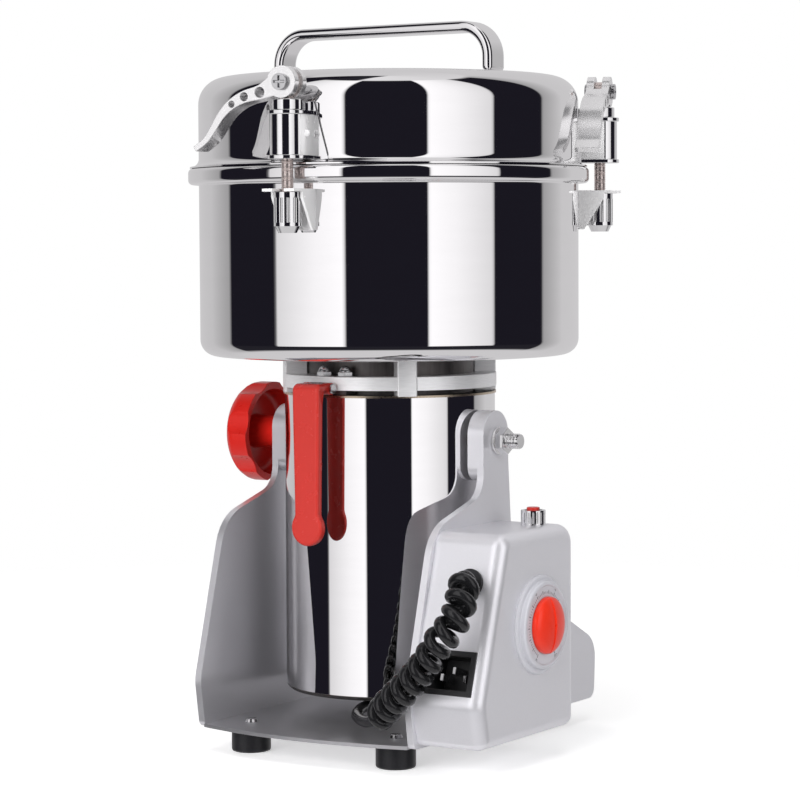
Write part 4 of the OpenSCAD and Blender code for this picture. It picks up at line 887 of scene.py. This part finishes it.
OWN_FINISH = {
    # The base plate and the left side take the darker paints, which are painted shade.
    "base_plate": plate_painted_shade, "left_side_plate": side_painted_shade, "star_knob": knob_red,
    "clamp_brackets": pale_satin, "pivot_washers": satin_steel,
    "pivot_nut": FINISHES["bright_steel"], "pivot_studs": FINISHES["bright_steel"],
    **{node: satin_steel for node in CAM_LEVERS}
}
STRIP_WIDTH = {"release_lever": 1.8}
SOFT_NODES = ["star_knob", "release_lever", "lid_handle"] + CAM_LEVERS
print("pieces with an edge of their own", len(EDGE_WIDTH), "inside", len(INSIDE))

# %% Dress the rest
done = {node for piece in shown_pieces() for node in piece.get("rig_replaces", [])}
for node in frame["nodes"]:
    if node in done:
        continue
    if node in INSIDE:
        cad = frame["nodes"][node]
        cad.data.materials.clear()
        cad.data.materials.append(FINISHES[slot_of[node]])
    else:
        segments = SOFT_SEGMENTS if node in SOFT_NODES else EDGE_SEGMENTS
        width = EDGE_WIDTH.get(node, OTHER_WIDTH)
        dressed(node, width, segments, OWN_FINISH.get(node), STRIP_WIDTH.get(node))

# %% [markdown]
# ## Threads
# Rods and studs are plain cylinders in the CAD model. Their threads are only for the eye, so a Geometry
# Nodes group winds one thin ridge round a spiral. The same group makes every thread, with radius, turns,
# length and depth as its inputs. A screw modifier would do too, but one group keeps all threads alike.

# %% Geometry Nodes helpers
def new_group(name, inputs):
    """An empty geometry group with named inputs, and the outputs of its input node."""
    group = bpy.data.node_groups.new(name, "GeometryNodeTree")
    for title, kind in inputs:
        group.interface.new_socket(title, in_out="INPUT", socket_type=kind)
    group.interface.new_socket("Geometry", in_out="OUTPUT", socket_type="NodeSocketGeometry")
    return group, add_node(group, "NodeGroupInput").outputs


def end_group(group, geometry, material):
    """Realizes instances, sets the material and joins the group's output."""
    real = add_node(group, "GeometryNodeRealizeInstances", Geometry=geometry).outputs[0]
    dressed_up = add_node(group, "GeometryNodeSetMaterial", Geometry=real, Material=material).outputs[0]
    add_node(group, "NodeGroupOutput", Geometry=dressed_up)


def grown_mesh(group, name, **values):
    """Runs a geometry group with values for its inputs and gives the plain mesh."""
    holder = add_object(name + "_holder", bpy.data.meshes.new(name + "_holder"))
    modifier = holder.modifiers.new("nodes", "NODES")
    modifier.node_group = group
    for item in group.interface.items_tree:
        if item.in_out == "INPUT" and item.name in values:
            modifier[item.identifier] = values[item.name]
    return plain_mesh(holder, name)


print("group helpers ready")

# %% Thread group
thread_group, given = new_group("thread", [
    ("Radius", "NodeSocketFloat"), ("Turns", "NodeSocketFloat"), ("Length", "NodeSocketFloat"),
    ("Depth", "NodeSocketFloat")
])
spiral = add_node(thread_group, "GeometryNodeCurveSpiral", Resolution=24, Rotations=given["Turns"],
                  Start_Radius=given["Radius"], End_Radius=given["Radius"], Height=given["Length"])
ridge = add_node(thread_group, "GeometryNodeCurvePrimitiveCircle", Resolution=4, Radius=given["Depth"])
wound = add_node(thread_group, "GeometryNodeCurveToMesh", Curve=spiral.outputs[0],
                 Profile_Curve=ridge.outputs[0])
end_group(thread_group, wound.outputs[0], FINISHES["rod_steel"])
THREAD_PITCH, THREAD_DEPTH, THREAD_OVER, RIDGE_SHARE = 1.0, 0.22, 0.25, 1.4


def thread_mesh(name, rod_r, length):
    """A thread on a rod, in millimetres, upwards from the origin."""
    radius = rod_r + THREAD_OVER - THREAD_DEPTH
    return grown_mesh(thread_group, name, Radius=radius * MM, Turns=length / THREAD_PITCH,
                      Length=length * MM, Depth=THREAD_DEPTH * RIDGE_SHARE * MM)


print("thread group nodes", len(thread_group.nodes))

# %% [markdown]
# Each of the three clamp rods shows a length of thread between bracket and saddle, and the right pivot
# stud shows its end beyond the nut. The ridge lies on the plain rod of the CAD model.

# %% Threads on the clamp rods and the pivot stud
def joined_mesh(name, meshes):
    """Several meshes as one."""
    bm = bmesh.new()
    for mesh in meshes:
        bm.from_mesh(mesh)
    return mesh_from(bm, name)


CLAMP_TURNS = [math.radians(turn) for turn in (-83.5, 36.5, 156.5)]
ROD_X, ROD_R, ROD_LOW, ROD_TOP = 120.2, 3.0, 312.2, 327.3
rod_threads = []
for clamp_turn in CLAMP_TURNS:
    thread = thread_mesh("rod_thread", ROD_R, ROD_TOP - ROD_LOW)
    foot = at(ROD_X * math.cos(clamp_turn), ROD_X * math.sin(clamp_turn), ROD_LOW)
    thread.transform(Matrix.Translation(foot))
    rod_threads.append(thread)
put("rod_threads", joined_mesh("rod_threads", rod_threads), body="head", slot="rod_steel")
STUD_R, STUD_START, STUD_LEN, PIVOT_Z = 4.0, 77.9, 7.2, 173.3
stud_thread = thread_mesh("stud_thread", STUD_R, STUD_LEN)
stud_thread.transform(Matrix.Translation(at(STUD_START, 0, PIVOT_Z)) @ quarter_turn)
put("stud_thread", stud_thread, body="head", slot="zinc_steel", material=satin_steel)
print("threads", len(rod_threads) + 1)

# %% [markdown]
# Each saddle has a pale cheek on both flat sides, with a small dome-headed screw in one of them. Cubes
# with broken edges and a spun dome are enough, because both are tiny.

# %% Saddle cheeks and screws
SADDLE_HALF, SADDLE_Z, SADDLE_H, CHEEK_IN, CHEEK_OUT, CHEEK_T = 8.5, 329.5, 21.5, 107.3, 121.6, 0.4
SCREW_OUT, SCREW_Z, SCREW_R, SCREW_RIM, SCREW_SIDES = 115.0, 341.0, 2.1, 0.3, 24
screw_profile = [(0, 0), (SCREW_R, 0)] + arc((0, SCREW_RIM), SCREW_R, 0, 90, 6)
cheek_meshes = []
for clamp_turn in CLAMP_TURNS:
    on_clamp = Matrix.Translation(AXIS) @ Matrix.Rotation(clamp_turn, 4, "Z")
    for side_sign in (-1, 1):
        bm = bmesh.new()
        bmesh.ops.create_cube(bm, size=MM)
        bmesh.ops.scale(bm, vec=(CHEEK_OUT - CHEEK_IN, CHEEK_T, SADDLE_H), verts=bm.verts)
        bmesh.ops.bevel(bm, geom=bm.edges, offset=CHEEK_T / 3 * MM, segments=2, affect="EDGES", profile=0.5)
        middle = Vector(((CHEEK_IN + CHEEK_OUT) / 2, side_sign * SADDLE_HALF, SADDLE_Z + SADDLE_H / 2)) * MM
        bmesh.ops.transform(bm, matrix=on_clamp @ Matrix.Translation(middle), verts=bm.verts)
        cheek_meshes.append(mesh_from(bm, "cheek"))
    screw = turned_mesh("saddle_screw", screw_profile, SCREW_SIDES)
    screw.transform(
        on_clamp @ Matrix.Translation(Vector((SCREW_OUT, SADDLE_HALF, SCREW_Z)) * MM)
        @ Matrix.Rotation(-math.pi / 2, 4, "X") @ Matrix.Translation(-AXIS)
    )
    cheek_meshes.append(screw)
put("saddle_cheeks", joined_mesh("saddle_cheeks", cheek_meshes), body="head", slot="bright_steel",
    material=pale_satin)
print("cheeks and screws", len(cheek_meshes))

# %% [markdown]
# ## Dial
# The timer's dial has fine ticks and plain numbers for minutes. Ticks are one bar, repeated round an arc
# by a Geometry Nodes group. The numbers are text objects made into mesh, laid flat on the dial.

# %% Tick group
tick_group, given = new_group("ticks", [
    ("Count", "NodeSocketInt"), ("Radius", "NodeSocketFloat"), ("Size", "NodeSocketVector"),
    ("Step", "NodeSocketFloat"), ("Start", "NodeSocketFloat")
])
index = add_node(tick_group, "GeometryNodeInputIndex").outputs[0]
swing = math_node(tick_group, "MULTIPLY_ADD", index, given["Step"], given["Start"])
across = math_node(tick_group, "MULTIPLY", math_node(tick_group, "COSINE", swing), given["Radius"])
upwards = math_node(tick_group, "MULTIPLY", math_node(tick_group, "SINE", swing), given["Radius"])
spot = add_node(tick_group, "ShaderNodeCombineXYZ", X=across, Y=upwards).outputs[0]
spots = add_node(tick_group, "GeometryNodePoints", Count=given["Count"], Position=spot).outputs[0]
bar = add_node(tick_group, "GeometryNodeMeshCube", Size=given["Size"]).outputs[0]
facing = add_node(tick_group, "ShaderNodeCombineXYZ", Z=swing).outputs[0]
facing = add_node(tick_group, "FunctionNodeEulerToRotation", Euler=facing).outputs[0]
bars = add_node(tick_group, "GeometryNodeInstanceOnPoints", Points=spots, Instance=bar, Rotation=facing)
end_group(tick_group, bars.outputs[0], dial_ink)
print("tick group nodes", len(tick_group.nodes))

# %% Ticks and numbers
INK, NUMBER_R, NUMBER_SIZE = 0.06, 20.9, 3.2
DIAL_SWEEP, FIRST_TICK, MINUTES, NUMBER_STEP = math.radians(300), math.radians(240), 15, 3
TICKS_A_MINUTE = 4
TICK_ROWS = [(MINUTES * TICKS_A_MINUTE + 1, 17.6, 1.2, 0.3), (MINUTES + 1, 18.0, 2.0, 0.45)]
on_dial = Matrix.Translation(at(BOX_OUT + face_x, DIAL_Y, DIAL_Z)) @ Matrix((
    (0, 0, 1, 0), (1, 0, 0, 0), (0, 1, 0, 0), (0, 0, 0, 1)
))
dial_marks = []
for count, radius, length, width in TICK_ROWS:
    bar_size = (length * MM, width * MM, INK * 2 * MM)
    dial_marks.append(grown_mesh(tick_group, "ticks", Count=count, Radius=radius * MM, Size=bar_size,
                                 Start=FIRST_TICK, Step=-DIAL_SWEEP / (count - 1)))
for minute in range(0, MINUTES + 1, NUMBER_STEP):
    turn = FIRST_TICK - DIAL_SWEEP * minute / MINUTES
    letters = bpy.data.curves.new("number", "FONT")
    letters.body = str(minute)
    letters.size = NUMBER_SIZE * MM
    letters.extrude = INK * MM
    letters.align_x = "CENTER"
    letters.align_y = "CENTER"
    mesh = plain_mesh(add_object("number", letters), "number")
    mesh.transform(Matrix.Translation(Vector((math.cos(turn), math.sin(turn), 0)) * NUMBER_R * MM))
    dial_marks.append(mesh)
marks = joined_mesh("dial_marks", dial_marks)
marks.transform(on_dial)
put("dial_marks", marks, body="stand", slot="black_plastic", material=dial_ink)
print("dial marks", len(dial_marks))
